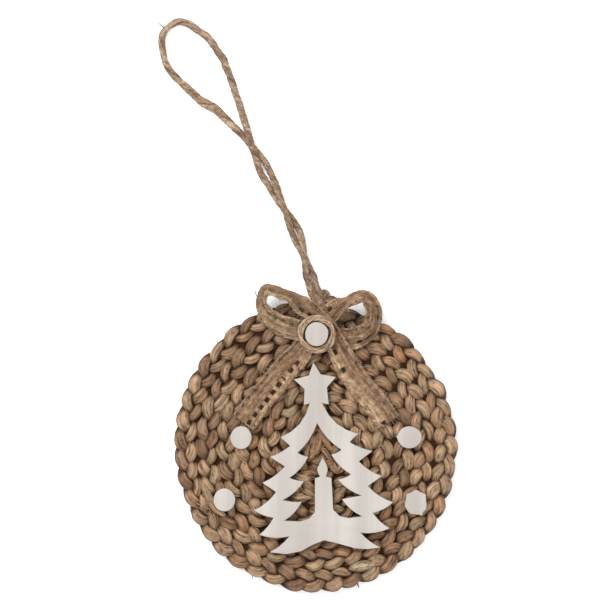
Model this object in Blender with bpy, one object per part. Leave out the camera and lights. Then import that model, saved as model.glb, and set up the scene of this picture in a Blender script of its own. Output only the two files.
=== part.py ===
# Christmas ornament: a flat plaited disc with a wooden fir tree, white dots, a ribbon bow and a twine loop.
# It lies on its back: +Z is the front, +Y is the top of the hung ornament, +X is to its right.
# The origin is the middle of the disc, on its flat back. All positions are in metres.

import math
import random

import bmesh
import bpy
from mathutils import Vector

MM = 0.001
CLEARANCE = 0.3 * MM

# Plaited disc: one three-strand plait wound outwards from the eye, clockwise from the front
ROW_PITCH = 8.95 * MM
ROW_COUNT = 7
EYE_RADIUS = 6.9 * MM
EYE_HOLE = 0.1 * MM
PLAIT_THICKNESS = 6.6 * MM
LEAF_PITCH = 7.9 * MM
LEAF_RELIEF = 1.5 * MM
PLAIT_VALLEY = 1.3 * MM
PLAIT_EDGE_HEIGHT = 2.7 * MM
LEAF_SCALLOP = 0.7 * MM
CREST_PLACE = 0.52
BACK_WIDTH = 0.8
JOG_SHARE = 0.2
JOG_ANGLE = math.radians(60)
WIDEST_STEP = math.radians(22)
NARROWEST_END = 1.2 * MM
DISC_RADIUS = EYE_RADIUS + (ROW_COUNT - 1) * ROW_PITCH
OUT_OF_ROUND = 0.014
OUT_OF_ROUND_ANGLE = math.radians(100)
END_BULGE = 0.018
END_BULGE_ANGLE = math.radians(118)
END_BULGE_SPREAD = math.radians(24)

# Wooden pieces glued on the front
SEAT = PLAIT_THICKNESS + CLEARANCE
TREE_THICKNESS = 2.6 * MM
DOT_THICKNESS = 2.0 * MM
TREE_TILT = math.radians(3.5)
TREE_FOOT = (3.7 * MM, -39.4 * MM)

# Fir tree outline from the star's tip: across, up and sag of the edge that arrives there
TREE_RIGHT = (
    (0.0, 76.2, 0.0),
    (2.8, 70.9, 0.0),
    (9.2, 69.3, 0.0),
    (5.1, 65.1, 0.0),
    (5.5, 57.8, 0.0),
    (2.8, 58.4, 0.0),
    (17.4, 44.4, 0.13),
    (13.4, 41.1, 0.04),
    (22.9, 36.8, 0.04),
    (16.8, 32.7, 0.0),
    (26.2, 25.8, 0.06),
    (20.0, 22.0, 0.0),
    (30.4, 14.4, 0.07),
    (21.4, 10.4, -0.07),
    (28.2, 3.4, 0.06),
    (15.8, 2.2, -0.07),
    (23.7, -4.5, 0.06),
    (18.0, -4.9, 0.0),
    (12.8, -4.2, 0.0),
    (5.9, -1.8, 0.0),
)
TREE_LEFT = (
    (-0.2, 76.2, 0.0),
    (-2.3, 70.7, 0.0),
    (-8.7, 69.3, 0.0),
    (-4.5, 65.0, 0.0),
    (-5.2, 58.2, 0.0),
    (-2.7, 58.7, 0.0),
    (-16.0, 45.0, 0.13),
    (-12.1, 41.1, 0.0),
    (-20.9, 36.9, 0.04),
    (-14.9, 32.5, 0.0),
    (-24.9, 26.1, 0.06),
    (-19.3, 21.8, 0.0),
    (-29.2, 14.6, 0.07),
    (-21.1, 10.9, -0.06),
    (-27.6, 4.0, 0.06),
    (-14.9, 2.5, -0.07),
    (-23.6, -3.7, 0.06),
    (-16.6, -4.9, 0.0),
    (-10.2, -4.1, 0.0),
    (-5.0, -1.6, 0.0),
)
# The opening's sides from its top, then the candle that stands in it with its flame
OPENING_RIGHT = (
    (0.0, 50.0, 0.0),
    (9.7, 38.1, 0.07),
    (5.2, 36.3, -0.06),
    (13.1, 27.4, 0.07),
    (7.4, 25.5, -0.06),
    (17.0, 18.1, 0.07),
    (8.6, 17.0, 0.0),
    (16.7, 9.2, 0.07),
    (11.0, 8.8, 0.0),
    (7.2, 9.9, 0.0),
    (4.6, 12.9, 0.0),
    (4.7, 26.3, 0.0),
    (2.3, 27.2, 0.0),
    (3.3, 30.6, 0.08),
    (1.3, 35.3, 0.06),
)
OPENING_LEFT = (
    (-0.1, 50.0, 0.0),
    (-9.1, 38.0, 0.07),
    (-4.6, 36.0, -0.06),
    (-13.2, 27.5, 0.07),
    (-7.0, 25.8, -0.06),
    (-16.6, 18.2, 0.07),
    (-8.6, 16.9, -0.04),
    (-16.5, 9.4, 0.07),
    (-9.8, 8.6, 0.0),
    (-5.9, 9.6, 0.0),
    (-3.3, 12.2, 0.0),
    (-2.4, 26.7, 0.0),
    (-0.1, 27.2, 0.0),
    (-1.2, 30.6, 0.08),
)
ARC_PARTS = 4
CURVE_PARTS = 12

# White dots: place on the disc, width and height
DOTS = {
    "dot_upper_left": (-31.8, 4.4, 9.2, 10.1),
    "dot_lower_left": (-39.0, -22.2, 9.4, 10.1),
    "dot_upper_right": (40.1, 4.6, 10.6, 9.7),
    "dot_lower_right": (42.8, -23.4, 9.6, 11.0),
}
DOT_CORNERS = 14
DOT_UNEVENNESS = 0.03

# Ribbon bow, from the left tail through the right loop and the left loop to the right tail.
# The knot is this far inside the disc's top edge, and the route is measured from it.
KNOT_INSET = 13.0 * MM
BOW_ACROSS = 0.4 * MM
RIBBON_THICKNESS = 0.9 * MM
RIBBON_WIDTH = 11.0 * MM
GATHERED_WIDTH = 7.4 * MM
RIBBON_LAYER = RIBBON_THICKNESS + 2 * CLEARANCE
RIBBON_STEP = 2.6 * MM
RING_LIFT = 1.1 * MM
BOW_HEIGHT = 2 * RIBBON_LAYER + RIBBON_THICKNESS + RING_LIFT
# Across, up, roll in degrees (right-hand edge up), layer at the knot, width share, curl in degrees
RIBBON_ROUTE = (
    (-31.5, -37.8, 0, 0, 1.0, 8),
    (-26.4, -31.0, 0, 0, 1.0, 10),
    (-20.8, -24.1, 0, 0, 1.0, 10),
    (-14.2, -15.8, 2, 0, 1.0, 12),
    (-7.8, -8.6, 0, 0, 0.8, 8),
    (-3.7, -3.4, 0, 0, 0.1, 0),
    (1.2, -1.0, 0, 0, 0.0, 0),
    (6.3, -0.9, 0, 0, 0.1, 0),
    (11.6, -1.9, -10, 0, 0.5, 0),
    (16.6, -1.9, -28, 0, 0.9, 12),
    (21.2, -0.1, -44, 0, 1.0, 20),
    (24.2, 3.3, -50, 0, 1.0, 24),
    (25.0, 7.7, -52, 0, 1.0, 24),
    (24.4, 12.2, -54, 0, 1.0, 24),
    (22.4, 15.6, -60, 0, 1.0, 24),
    (19.2, 16.8, -64, 0, 1.0, 24),
    (15.6, 15.8, -66, 0, 1.0, 20),
    (12.2, 13.6, -66, 0.1, 0.9, 12),
    (8.8, 11.4, -32, 0.3, 0.4, 0),
    (4.2, 7.2, 0, 1, 0.1, 0),
    (0.2, 4.2, 0, 1, 0.0, 0),
    (-4.4, 2.2, 4, 1, 0.1, 0),
    (-9.0, 2.0, 18, 0.8, 0.6, 0),
    (-13.0, 3.3, 34, 0.3, 0.9, 12),
    (-16.7, 5.0, 44, 0, 1.0, 18),
    (-20.3, 7.4, 52, 0, 1.0, 22),
    (-23.2, 10.3, 62, 0, 1.0, 24),
    (-24.8, 13.8, 72, 0, 1.0, 24),
    (-24.2, 17.4, 74, 0, 1.0, 24),
    (-21.8, 20.0, 72, 0, 1.0, 24),
    (-18.2, 19.8, 68, 0, 1.0, 24),
    (-14.0, 18.4, 70, 0.2, 1.0, 22),
    (-10.0, 15.6, 46, 0.8, 0.7, 8),
    (-6.2, 12.6, 18, 1.5, 0.3, 0),
    (-1.6, 9.2, 2, 2, 0.1, 0),
    (2.4, 5.6, 0, 2, 0.0, 0),
    (5.8, 1.0, 0, 2, 0.0, 0),
    (8.6, -4.8, 0, 1.6, 0.5, 4),
    (11.8, -11.4, 4, 0.9, 0.9, 16),
    (15.6, -17.8, 8, 0.4, 1.0, 26),
    (20.8, -24.2, 10, 0.2, 1.0, 30),
    (25.6, -29.6, 10, 0.1, 1.0, 30),
    (30.6, -37.6, 8, 0.1, 1.0, 24),
)

# Two turns of twine round the dot on the knot
RING_RADIUS = 7.2 * MM
RING_BAND = 3.0 * MM
RING_HEIGHT = 2.6 * MM
RING_GROOVE = 0.5 * MM
RING_CREST = 0.55
RING_BACK = 0.6
RING_SIDE = 0.5
RING_STEPS = 28
BOW_DOT = (10.2, 10.6)

# Hanging loop of twine, lying on the surface that the disc lies on
TWINE = 2.8 * MM
TWINE_STEP = 2.0 * TWINE
FLOOR_GAP = 0.05 * MM
TWINE_REST = TWINE / 2 + FLOOR_GAP
TWINE_OVER = TWINE_REST + TWINE + CLEARANCE
KNOT_SIZE = (4.5 * MM, 2.6 * MM, 2.6 * MM)
KNOT_ACROSS = 0.6 * MM
KNOT_LIFT = 0.5 * MM
KNOT_SIDES = 14
KNOT_BANDS = 8
# Across and up from the top of the knot, and height: 0 on the surface, 1 over the other leg
HANGER_ROUTE = (
    (-0.1, 0.5, 0.35),
    (-0.9, 4.3, 0.15),
    (-2.1, 7.7, 0),
    (-5.5, 14.5, 0),
    (-8.8, 20.5, 0),
    (-11, 25.5, 0.3),
    (-12.3, 30.0, 0.9),
    (-14.1, 35.3, 1),
    (-15.9, 40.0, 0.85),
    (-17.2, 44.1, 0.65),
    (-18.9, 48.4, 0.1),
    (-20.8, 52.5, 0),
    (-23.1, 56.5, 0),
    (-27.7, 61.7, 0),
    (-31.5, 66.4, 0),
    (-36.9, 71.5, 0),
    (-42.6, 77.3, 0),
    (-45.6, 79.4, 0),
    (-49.7, 81.5, 0),
    (-53, 84.6, 0),
    (-56.3, 87.6, 0),
    (-59.8, 90.9, 0),
    (-62.8, 94.2, 0),
    (-64.7, 97.2, 0),
    (-66, 101.3, 0),
    (-66.7, 105.9, 0),
    (-66.6, 108.9, 0),
    (-65.3, 111.9, 0),
    (-62.6, 114.4, 0),
    (-59.3, 115.7, 0),
    (-55.2, 114.7, 0),
    (-51.1, 111.9, 0),
    (-47.8, 109.7, 0),
    (-45, 106.5, 0),
    (-42.7, 102.9, 0),
    (-40.4, 99.7, 0),
    (-38.9, 95.8, 0),
    (-37.4, 92.0, 0),
    (-36, 88.1, 0),
    (-34.9, 84.3, 0),
    (-33.6, 81.1, 0),
    (-32.5, 77.5, 0),
    (-30.8, 71.5, 0.4),
    (-29.1, 66.2, 1),
    (-28, 61.7, 1),
    (-26.7, 58.3, 1),
    (-25.5, 54.6, 0.5),
    (-24.2, 50.5, 0),
    (-21.2, 45.8, 0),
    (-18, 40.5, 0),
    (-14.1, 35.1, 0),
    (-10.9, 31.3, 0),
    (-8.6, 27.8, 0),
    (-7.2, 24.8, 0.3),
    (-6.2, 20.5, 0.85),
    (-5.4, 14.5, 1),
    (-5, 10.3, 0.95),
    (-4.8, 6.8, 0.55),
    (-3.9, 4.0, 0.45),
    (-3, 0.5, 0.75),
)

STRAW = (0.42, 0.27, 0.16, 1.0)
WHITEWASH = (0.72, 0.68, 0.63, 1.0)
JUTE = (0.46, 0.33, 0.21, 1.0)


def material(name, colour, roughness):
    made = bpy.data.materials.new(name)
    made.use_nodes = True
    shader = made.node_tree.nodes["Principled BSDF"]
    shader.inputs["Base Color"].default_value = colour
    shader.inputs["Roughness"].default_value = roughness
    shader.inputs["Metallic"].default_value = 0.0
    made.diffuse_color = colour
    return made


def add_object(name, data, look, location=(0, 0, 0)):
    data.materials.append(look)
    made = bpy.data.objects.new(name, data)
    made.location = location
    bpy.context.scene.collection.objects.link(made)
    return made


def swept_mesh(name, rings, closed):
    """A skin over rings of points. Each ring runs clockwise, seen along the way of the sweep."""
    mesh = bpy.data.meshes.new(name)
    built = bmesh.new()
    loops = [[built.verts.new(point) for point in ring] for ring in rings]
    count = len(loops[0])
    pairs = list(zip(loops, loops[1:]))
    if closed:
        pairs.append((loops[-1], loops[0]))
    else:
        built.faces.new(loops[0])
        built.faces.new(reversed(loops[-1]))
    for near, far in pairs:
        for i in range(count):
            j = (i + 1) % count
            built.faces.new((near[j], near[i], far[i], far[j]))
    bmesh.ops.recalc_face_normals(built, faces=built.faces)
    built.to_mesh(mesh)
    built.free()
    return mesh


def smooth_route(points, step):
    """Points about one step apart on the smooth curve through the given ones, with all their values."""
    dense = []
    ends = [points[0], *points, points[-1]]
    for a, b, c, d in zip(ends, ends[1:], ends[2:], ends[3:]):
        for i in range(CURVE_PARTS):
            t = i / CURVE_PARTS
            dense.append(
                [
                    0.5 * (2 * q + (r - p) * t + (2 * p - 5 * q + 4 * r - s) * t * t
                           + (3 * q - p - 3 * r + s) * t ** 3)
                    for p, q, r, s in zip(a, b, c, d)
                ]
            )
    dense.append(list(points[-1]))
    lengths = [0.0]
    for a, b in zip(dense, dense[1:]):
        lengths.append(lengths[-1] + math.dist(a[:3], b[:3]))
    count = max(2, round(lengths[-1] / step))
    route = []
    at = 0
    for i in range(count + 1):
        wanted = lengths[-1] * i / count
        while at < len(lengths) - 2 and lengths[at + 1] < wanted:
            at += 1
        share = (wanted - lengths[at]) / max(lengths[at + 1] - lengths[at], 1e-9)
        route.append([p + (q - p) * share for p, q in zip(dense[at], dense[at + 1])])
    return route


def smoothstep(share):
    share = min(max(share, 0.0), 1.0)
    return share * share * (3 - 2 * share)


def row_edge(turn):
    """Radius of the plait's outer edge after this many turns from the eye."""
    whole = math.floor(turn)
    step = smoothstep((turn - whole - 1 + JOG_SHARE) / JOG_SHARE)
    inner, outer = (
        EYE_HOLE if k < 0 else EYE_RADIUS + min(k, ROW_COUNT - 1) * ROW_PITCH
        for k in (whole, whole + 1)
    )
    return inner + (outer - inner) * step


def out_of_round(angle):
    """The hand-wound disc is a little taller than wide, and fuller where the plait's end is tucked in."""
    off = (angle - END_BULGE_ANGLE + math.pi) % (2 * math.pi) - math.pi
    bulge = END_BULGE * math.exp(-((off / END_BULGE_SPREAD) ** 2))
    return 1 + OUT_OF_ROUND * math.cos(2 * (angle - OUT_OF_ROUND_ANGLE)) + bulge


def disc_edge(angle):
    return DISC_RADIUS * out_of_round(angle)


def plait_section(turn, angle, even):
    """The plait cut across: a flat back, and two crests by turns high and low with a valley between."""
    inner = row_edge(turn - 1) + CLEARANCE
    outer = row_edge(turn)
    middle = (inner + outer) / 2
    half = (outer - inner) / 2
    share = min(1.0, 2 * half / ROW_PITCH)
    crest = PLAIT_THICKNESS - LEAF_RELIEF * (1 - share)
    crest_out = crest - (0 if even else LEAF_RELIEF)
    crest_in = crest - (LEAF_RELIEF if even else 0)
    scallop = LEAF_SCALLOP * share
    points = (
        (half - (0 if even else scallop), PLAIT_EDGE_HEIGHT),
        (half * CREST_PLACE, crest_out),
        (0.0, PLAIT_THICKNESS - PLAIT_VALLEY),
        (-half * CREST_PLACE, crest_in),
        (-half + (scallop if even else 0), PLAIT_EDGE_HEIGHT),
        (-half * (1.0 if turn < 1 - JOG_SHARE else BACK_WIDTH), 0.0),
        (half * BACK_WIDTH, 0.0),
    )
    stretch = out_of_round(angle)
    return [
        Vector(((middle + u) * stretch * math.cos(angle), (middle + u) * stretch * math.sin(angle), z))
        for u, z in points
    ]


def make_disc(look):
    rings = []
    turn = -JOG_SHARE
    while turn < ROW_COUNT:
        inner = row_edge(turn - 1)
        outer = row_edge(turn)
        if outer - inner > NARROWEST_END:
            angle = JOG_ANGLE - turn * 2 * math.pi
            rings.append(plait_section(turn, angle, len(rings) % 2 == 0))
        step = min(LEAF_PITCH / (inner + outer), WIDEST_STEP)
        turn += step / (2 * math.pi)
    return add_object("plaited_disc", swept_mesh("plaited_disc", rings, False), look)


def bent_line(points):
    """The outline through the points, with an arc wherever an edge sags."""
    line = []
    for before, (u, v, sag) in zip((None, *points), points):
        if before and sag:
            across = v - before[1]
            along = before[0] - u
            for i in range(1, ARC_PARTS):
                t = i / ARC_PARTS
                bulge = 4 * sag * t * (1 - t)
                line.append((before[0] + (u - before[0]) * t + bulge * across,
                             before[1] + (v - before[1]) * t + bulge * along))
        line.append((u, v))
    return line


def tree_lines():
    """The tree's outline and its opening, both closed, in millimetres from the foot."""
    mirrored = [(-u, v, sag) for u, v, sag in TREE_LEFT]
    right = bent_line(TREE_RIGHT)
    left = [(-u, v) for u, v in bent_line(mirrored)]
    outline = [*right, (0.0, 0.0), *reversed(left[1:])]
    mirrored = [(-u, v, sag) for u, v, sag in OPENING_LEFT]
    right = bent_line(OPENING_RIGHT)
    left = [(-u, v) for u, v in bent_line(mirrored)]
    opening = [*right, *reversed(left[1:])]
    return outline, opening


def plate(name, lines, thickness, look, location):
    """A flat cut-out from closed lines: the first is its outline and the others are openings."""
    flat = bpy.data.curves.new(name, "CURVE")
    flat.dimensions = "2D"
    flat.fill_mode = "BOTH"
    flat.extrude = thickness / 2
    for line in lines:
        spline = flat.splines.new("POLY")
        spline.points.add(len(line) - 1)
        for point, (x, y) in zip(spline.points, line):
            point.co = (x * MM, y * MM, 0, 1)
        spline.use_cyclic_u = True
    x, y, bottom = location
    return add_object(name, flat, look, (x, y, bottom + thickness / 2))


def dot_line(width, height, seed):
    """A hand-cut round of this width and height."""
    shape = random.Random(seed)
    line = []
    for i in range(DOT_CORNERS):
        angle = 2 * math.pi * i / DOT_CORNERS
        reach = 1 - DOT_UNEVENNESS * shape.random()
        line.append((width / 2 * reach * math.cos(angle), height / 2 * reach * math.sin(angle)))
    return line


def ribbon_ring(route, i):
    """The ribbon cut across at one place on its route, with its right-hand edge first."""
    x, y, z, roll, width, curl = route[i]
    before = route[max(i - 1, 0)]
    after = route[min(i + 1, len(route) - 1)]
    along = Vector((after[0] - before[0], after[1] - before[1], 0)).normalized()
    right = Vector((along.y, -along.x, 0))
    tilt = math.radians(roll)
    across = right * math.cos(tilt) + Vector((0, 0, math.sin(tilt)))
    face = Vector((0, 0, math.cos(tilt))) - right * math.sin(tilt)
    bend = math.radians(curl)
    half = width / 2
    drop = half * math.tan(bend / 2)
    middle = Vector((x, y, z))
    half_thick = RIBBON_THICKNESS / 2
    line = ((half, -drop), (0.0, 0.0), (-half, -drop))
    upper = [middle + across * u + face * (v + half_thick) for u, v in line]
    lower = [middle + across * u + face * (v - half_thick) for u, v in line]
    return upper + lower[::-1]


def make_ribbon(look, knot):
    """One ribbon, laid from tail to tail through both loops, each pass at the knot over the last."""
    guide = []
    for x, y, roll, layer, share, curl in RIBBON_ROUTE:
        width = GATHERED_WIDTH + (RIBBON_WIDTH - GATHERED_WIDTH) * share
        rise = width / 2 * abs(math.sin(math.radians(roll)))
        drop = width / 2 * math.tan(math.radians(curl) / 2)
        low = SEAT + RIBBON_THICKNESS / 2 + layer * RIBBON_LAYER
        guide.append((knot[0] + x * MM, knot[1] + y * MM, low + rise + drop, roll, width, curl))
    route = smooth_route(guide, RIBBON_STEP)
    rings = [ribbon_ring(route, i) for i in range(len(route))]
    return add_object("bow_ribbon", swept_mesh("bow_ribbon", rings, False), look)


def make_ring(look, centre):
    """Two turns of twine laid side by side, as one band with a groove."""
    half = RING_BAND / 2
    section = (
        (half, RING_SIDE),
        (half * RING_CREST, 1.0),
        (0.0, 1.0 - RING_GROOVE / RING_HEIGHT),
        (-half * RING_CREST, 1.0),
        (-half, RING_SIDE),
        (-half * RING_BACK, 0.0),
        (half * RING_BACK, 0.0),
    )
    rings = []
    for i in range(RING_STEPS):
        angle = -2 * math.pi * i / RING_STEPS
        away = Vector((math.cos(angle), math.sin(angle), 0))
        rings.append(
            [away * (RING_RADIUS + u) + Vector((0, 0, rise * RING_HEIGHT)) for u, rise in section]
        )
    return add_object("twine_ring", swept_mesh("twine_ring", rings, True), look, centre)


def make_hanger_knot(look, centre):
    mesh = bpy.data.meshes.new("hanger_knot")
    built = bmesh.new()
    bmesh.ops.create_uvsphere(built, u_segments=KNOT_SIDES, v_segments=KNOT_BANDS, radius=1.0)
    bmesh.ops.scale(built, vec=KNOT_SIZE, verts=built.verts)
    built.to_mesh(mesh)
    built.free()
    return add_object("hanger_knot", mesh, look, centre)


def make_hanger(look, knot):
    """The hanging loop as a tube. Its legs leave the knot side by side and cross three times."""
    top = knot[1] + KNOT_SIZE[1]
    guide = [
        (knot[0] + x * MM, top + y * MM, TWINE_REST + height * (TWINE_OVER - TWINE_REST))
        for x, y, height in HANGER_ROUTE
    ]
    tube = bpy.data.curves.new("hanger_loop", "CURVE")
    tube.dimensions = "3D"
    tube.bevel_depth = TWINE / 2
    tube.bevel_resolution = 2
    tube.use_fill_caps = True
    route = smooth_route(guide, TWINE_STEP)
    spline = tube.splines.new("POLY")
    spline.points.add(len(route) - 1)
    for point, place in zip(spline.points, route):
        point.co = (*place, 1)
    return add_object("hanger_loop", tube, look)


def main():
    for old in list(bpy.data.objects):
        bpy.data.objects.remove(old, do_unlink=True)
    straw = material("plaited straw", STRAW, 0.75)
    whitewash = material("whitewashed wood", WHITEWASH, 0.8)
    jute = material("jute", JUTE, 0.9)

    make_disc(straw)

    tree = plate("fir_tree", tree_lines(), TREE_THICKNESS, whitewash, (*TREE_FOOT, SEAT))
    tree.rotation_euler.z = TREE_TILT
    for seed, (name, (x, y, width, height)) in enumerate(DOTS.items()):
        line = dot_line(width, height, seed)
        plate(name, [line], DOT_THICKNESS, whitewash, (x * MM, y * MM, SEAT))

    top = disc_edge(math.pi / 2)
    bow_knot = (BOW_ACROSS, top - KNOT_INSET)
    make_ribbon(jute, bow_knot)
    ring_seat = SEAT + BOW_HEIGHT
    make_ring(jute, (*bow_knot, ring_seat))
    plate("dot_on_bow", [dot_line(*BOW_DOT, len(DOTS))], DOT_THICKNESS, whitewash, (*bow_knot, ring_seat))

    hanger_knot = (KNOT_ACROSS, top + CLEARANCE + KNOT_SIZE[1], KNOT_LIFT + KNOT_SIZE[2])
    make_hanger_knot(jute, hanger_knot)
    make_hanger(jute, hanger_knot)


main()
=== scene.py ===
# Christmas ornament lying on its back: a plaited disc with a white fir tree, white dots, a bow and twine.

import math

import bmesh
import bpy
import numpy as np
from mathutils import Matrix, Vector, noise


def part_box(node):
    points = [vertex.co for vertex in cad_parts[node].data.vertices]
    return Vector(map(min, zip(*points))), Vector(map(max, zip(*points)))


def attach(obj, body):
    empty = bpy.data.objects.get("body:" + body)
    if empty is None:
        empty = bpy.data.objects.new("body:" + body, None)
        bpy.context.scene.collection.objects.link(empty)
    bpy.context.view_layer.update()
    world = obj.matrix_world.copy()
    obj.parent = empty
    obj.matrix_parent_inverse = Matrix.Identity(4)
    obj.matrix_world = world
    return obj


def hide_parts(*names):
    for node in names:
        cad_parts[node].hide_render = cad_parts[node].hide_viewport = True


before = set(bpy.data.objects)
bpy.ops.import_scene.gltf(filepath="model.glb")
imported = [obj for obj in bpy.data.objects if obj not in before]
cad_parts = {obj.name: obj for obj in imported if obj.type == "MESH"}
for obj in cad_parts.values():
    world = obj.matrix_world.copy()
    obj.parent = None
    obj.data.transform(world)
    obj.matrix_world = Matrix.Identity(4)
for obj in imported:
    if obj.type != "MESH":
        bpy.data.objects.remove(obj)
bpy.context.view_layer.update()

mm = 0.001
print("frame loaded")


# Node trees

def addNode(tree, kind, inputs=None, **settings):
    node = tree.nodes.new(kind)
    for key, value in settings.items():
        setattr(node, key, value)
    for key, value in (inputs or {}).items():
        feed(tree, node.inputs[key], value)
    return node


def feed(tree, socket, value):
    if isinstance(value, bpy.types.Node):
        value = value.outputs[0]
    if isinstance(value, bpy.types.NodeSocket):
        tree.links.new(value, socket)
    else:
        socket.default_value = value


def calc(tree, operation, *values, clamp=False):
    node = addNode(tree, "ShaderNodeMath", dict(enumerate(values)), operation=operation, use_clamp=clamp)
    return node.outputs[0]


def vectorCalc(tree, operation, *values):
    return addNode(tree, "ShaderNodeVectorMath", dict(enumerate(values)), operation=operation).outputs[0]


def scaled(tree, vector, factor):
    return addNode(tree, "ShaderNodeVectorMath", {0: vector, "Scale": factor}, operation="SCALE").outputs[0]


def remap(tree, value, low, high, toLow=0.0, toHigh=1.0):
    limits = {0: value, 1: low, 2: high, 3: toLow, 4: toHigh}
    return addNode(tree, "ShaderNodeMapRange", limits, clamp=True).outputs[0]


def parted(tree, vector):
    return addNode(tree, "ShaderNodeSeparateXYZ", {0: vector}).outputs


def joined(tree, *parts):
    return addNode(tree, "ShaderNodeCombineXYZ", dict(enumerate(parts)))


def newTree(name, kind, inputs, outputs):
    # An input has its default, or the name of its kind where it has none
    tree = bpy.data.node_groups.new(name, kind)
    for label, value in inputs.items():
        bare = isinstance(value, str)
        socketKind = value if bare else {int: "Int", float: "Float"}[type(value)]
        socket = tree.interface.new_socket(label, in_out="INPUT", socket_type="NodeSocket" + socketKind)
        if not bare:
            socket.default_value = value
    for label, socketKind in outputs.items():
        tree.interface.new_socket(label, in_out="OUTPUT", socket_type="NodeSocket" + socketKind)
    return tree, tree.nodes.new("NodeGroupInput"), tree.nodes.new("NodeGroupOutput")


def endTree(tree, result, geometry, material):
    whole = addNode(tree, "GeometryNodeRealizeInstances", {"Geometry": geometry})
    dressed = addNode(tree, "GeometryNodeSetMaterial", {"Geometry": whole, "Material": material})
    feed(tree, result.inputs[0], dressed)


# A strand swept along a path: its mesh carries where each point lies along it and round it
sweepRelief = {
    "creaseAway": (31.7, 11.3, 5.9),
    "wrinkleRound": 1.6,
    "ridgeDetail": 1.0,
    "wrinkleDetail": 2.0,
}


def makeSweepTree():
    tree, given, result = newTree("ridgedStrand", "GeometryNodeTree", {
        "Geometry": "Geometry", "Sides": 12, "Ridge Depth": 0.1 * mm, "Ridge Count": 2.0,
        "Ridge Length": 12 * mm, "Crease Depth": 0.0, "Crease Width": 0.05, "Wrinkle Depth": 0.0,
        "Wrinkle Size": 1.0 * mm, "Seed": 0.0, "Material": "Material",
    }, {"Geometry": "Geometry"})
    asked = given.outputs

    def named(name, kind="FLOAT"):
        return addNode(tree, "GeometryNodeInputNamedAttribute", {"Name": name}, data_type=kind).outputs[0]

    def stored(geometry, name, value, kind="FLOAT"):
        return addNode(tree, "GeometryNodeStoreNamedAttribute",
                       {"Geometry": geometry, "Name": name, "Value": value}, data_type=kind, domain="POINT")

    def swing(vector, detail):
        wave = addNode(tree, "ShaderNodeTexNoise", {"Vector": vector, "Scale": 1.0, "Detail": detail})
        return calc(tree, "SUBTRACT", wave, 0.5)

    path = addNode(tree, "GeometryNodeMeshToCurve", {"Mesh": asked["Geometry"]})
    circle = addNode(tree, "GeometryNodeCurvePrimitiveCircle",
                     {"Resolution": asked["Sides"], "Radius": 1.0})
    marked = stored(circle, "ring", tree.nodes.new("GeometryNodeInputPosition"), "FLOAT_VECTOR")
    tube = addNode(tree, "GeometryNodeCurveToMesh",
                   {"Curve": path, "Profile Curve": marked, "Fill Caps": True})

    centre, ring = named("centre", "FLOAT_VECTOR"), named("ring", "FLOAT_VECTOR")
    sidePart, liftPart, _ = parted(tree, ring)
    place = joined(
        tree,
        calc(tree, "MULTIPLY", sidePart, asked["Ridge Count"]),
        calc(tree, "MULTIPLY", liftPart, asked["Ridge Count"]),
        calc(tree, "ADD", calc(tree, "DIVIDE", named("run"), asked["Ridge Length"]), asked["Seed"]),
    )
    ridge = calc(tree, "MULTIPLY", swing(place, sweepRelief["ridgeDetail"]), asked["Ridge Depth"])
    line = calc(tree, "ABSOLUTE", swing(vectorCalc(tree, "ADD", place, sweepRelief["creaseAway"]), 0.0))
    crease = calc(tree, "SUBTRACT", 1.0, calc(tree, "DIVIDE", line, asked["Crease Width"]), clamp=True)
    groove = calc(tree, "MULTIPLY", crease, asked["Crease Depth"])
    fine = scaled(tree, centre, calc(tree, "DIVIDE", 1.0, asked["Wrinkle Size"]))
    fine = vectorCalc(tree, "ADD", fine, scaled(tree, ring, sweepRelief["wrinkleRound"]))
    wrinkle = calc(tree, "MULTIPLY", swing(fine, sweepRelief["wrinkleDetail"]), asked["Wrinkle Depth"])
    push = calc(tree, "ADD", calc(tree, "SUBTRACT", ridge, groove), wrinkle)
    push = calc(tree, "MULTIPLY", push, named("ridgeShare"))

    side = scaled(tree, named("sideways", "FLOAT_VECTOR"), sidePart)
    lift = scaled(tree, named("upwards", "FLOAT_VECTOR"), liftPart)
    away = vectorCalc(tree, "NORMALIZE", vectorCalc(tree, "ADD", side, lift))
    place = centre
    for part, size in ((side, named("halfWidth")), (lift, named("halfHeight")), (away, push)):
        place = vectorCalc(tree, "ADD", place, scaled(tree, part, size))
    # The crease mask is kept for the materials, which paint shade into the groove with it
    moved = addNode(tree, "GeometryNodeSetPosition",
                    {"Geometry": stored(tube, "crease", crease), "Position": place})
    smooth = addNode(tree, "GeometryNodeSetShadeSmooth", {"Geometry": moved})
    endTree(tree, result, smooth, asked["Material"])
    return tree


# Fine loose fibres that stand off a surface, but not off its underside or close to the floor
fibreShape = {
    "middle": (0.1, 0, 0.55),
    "end": (0.5, 0.15, 0.8),
    "thinning": 0.75,
    "spin": 3.14,
    "sizes": (0.35, 1.4),
    "sizeSeed": 9.0,
    "facing": -0.1,
}


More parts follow.
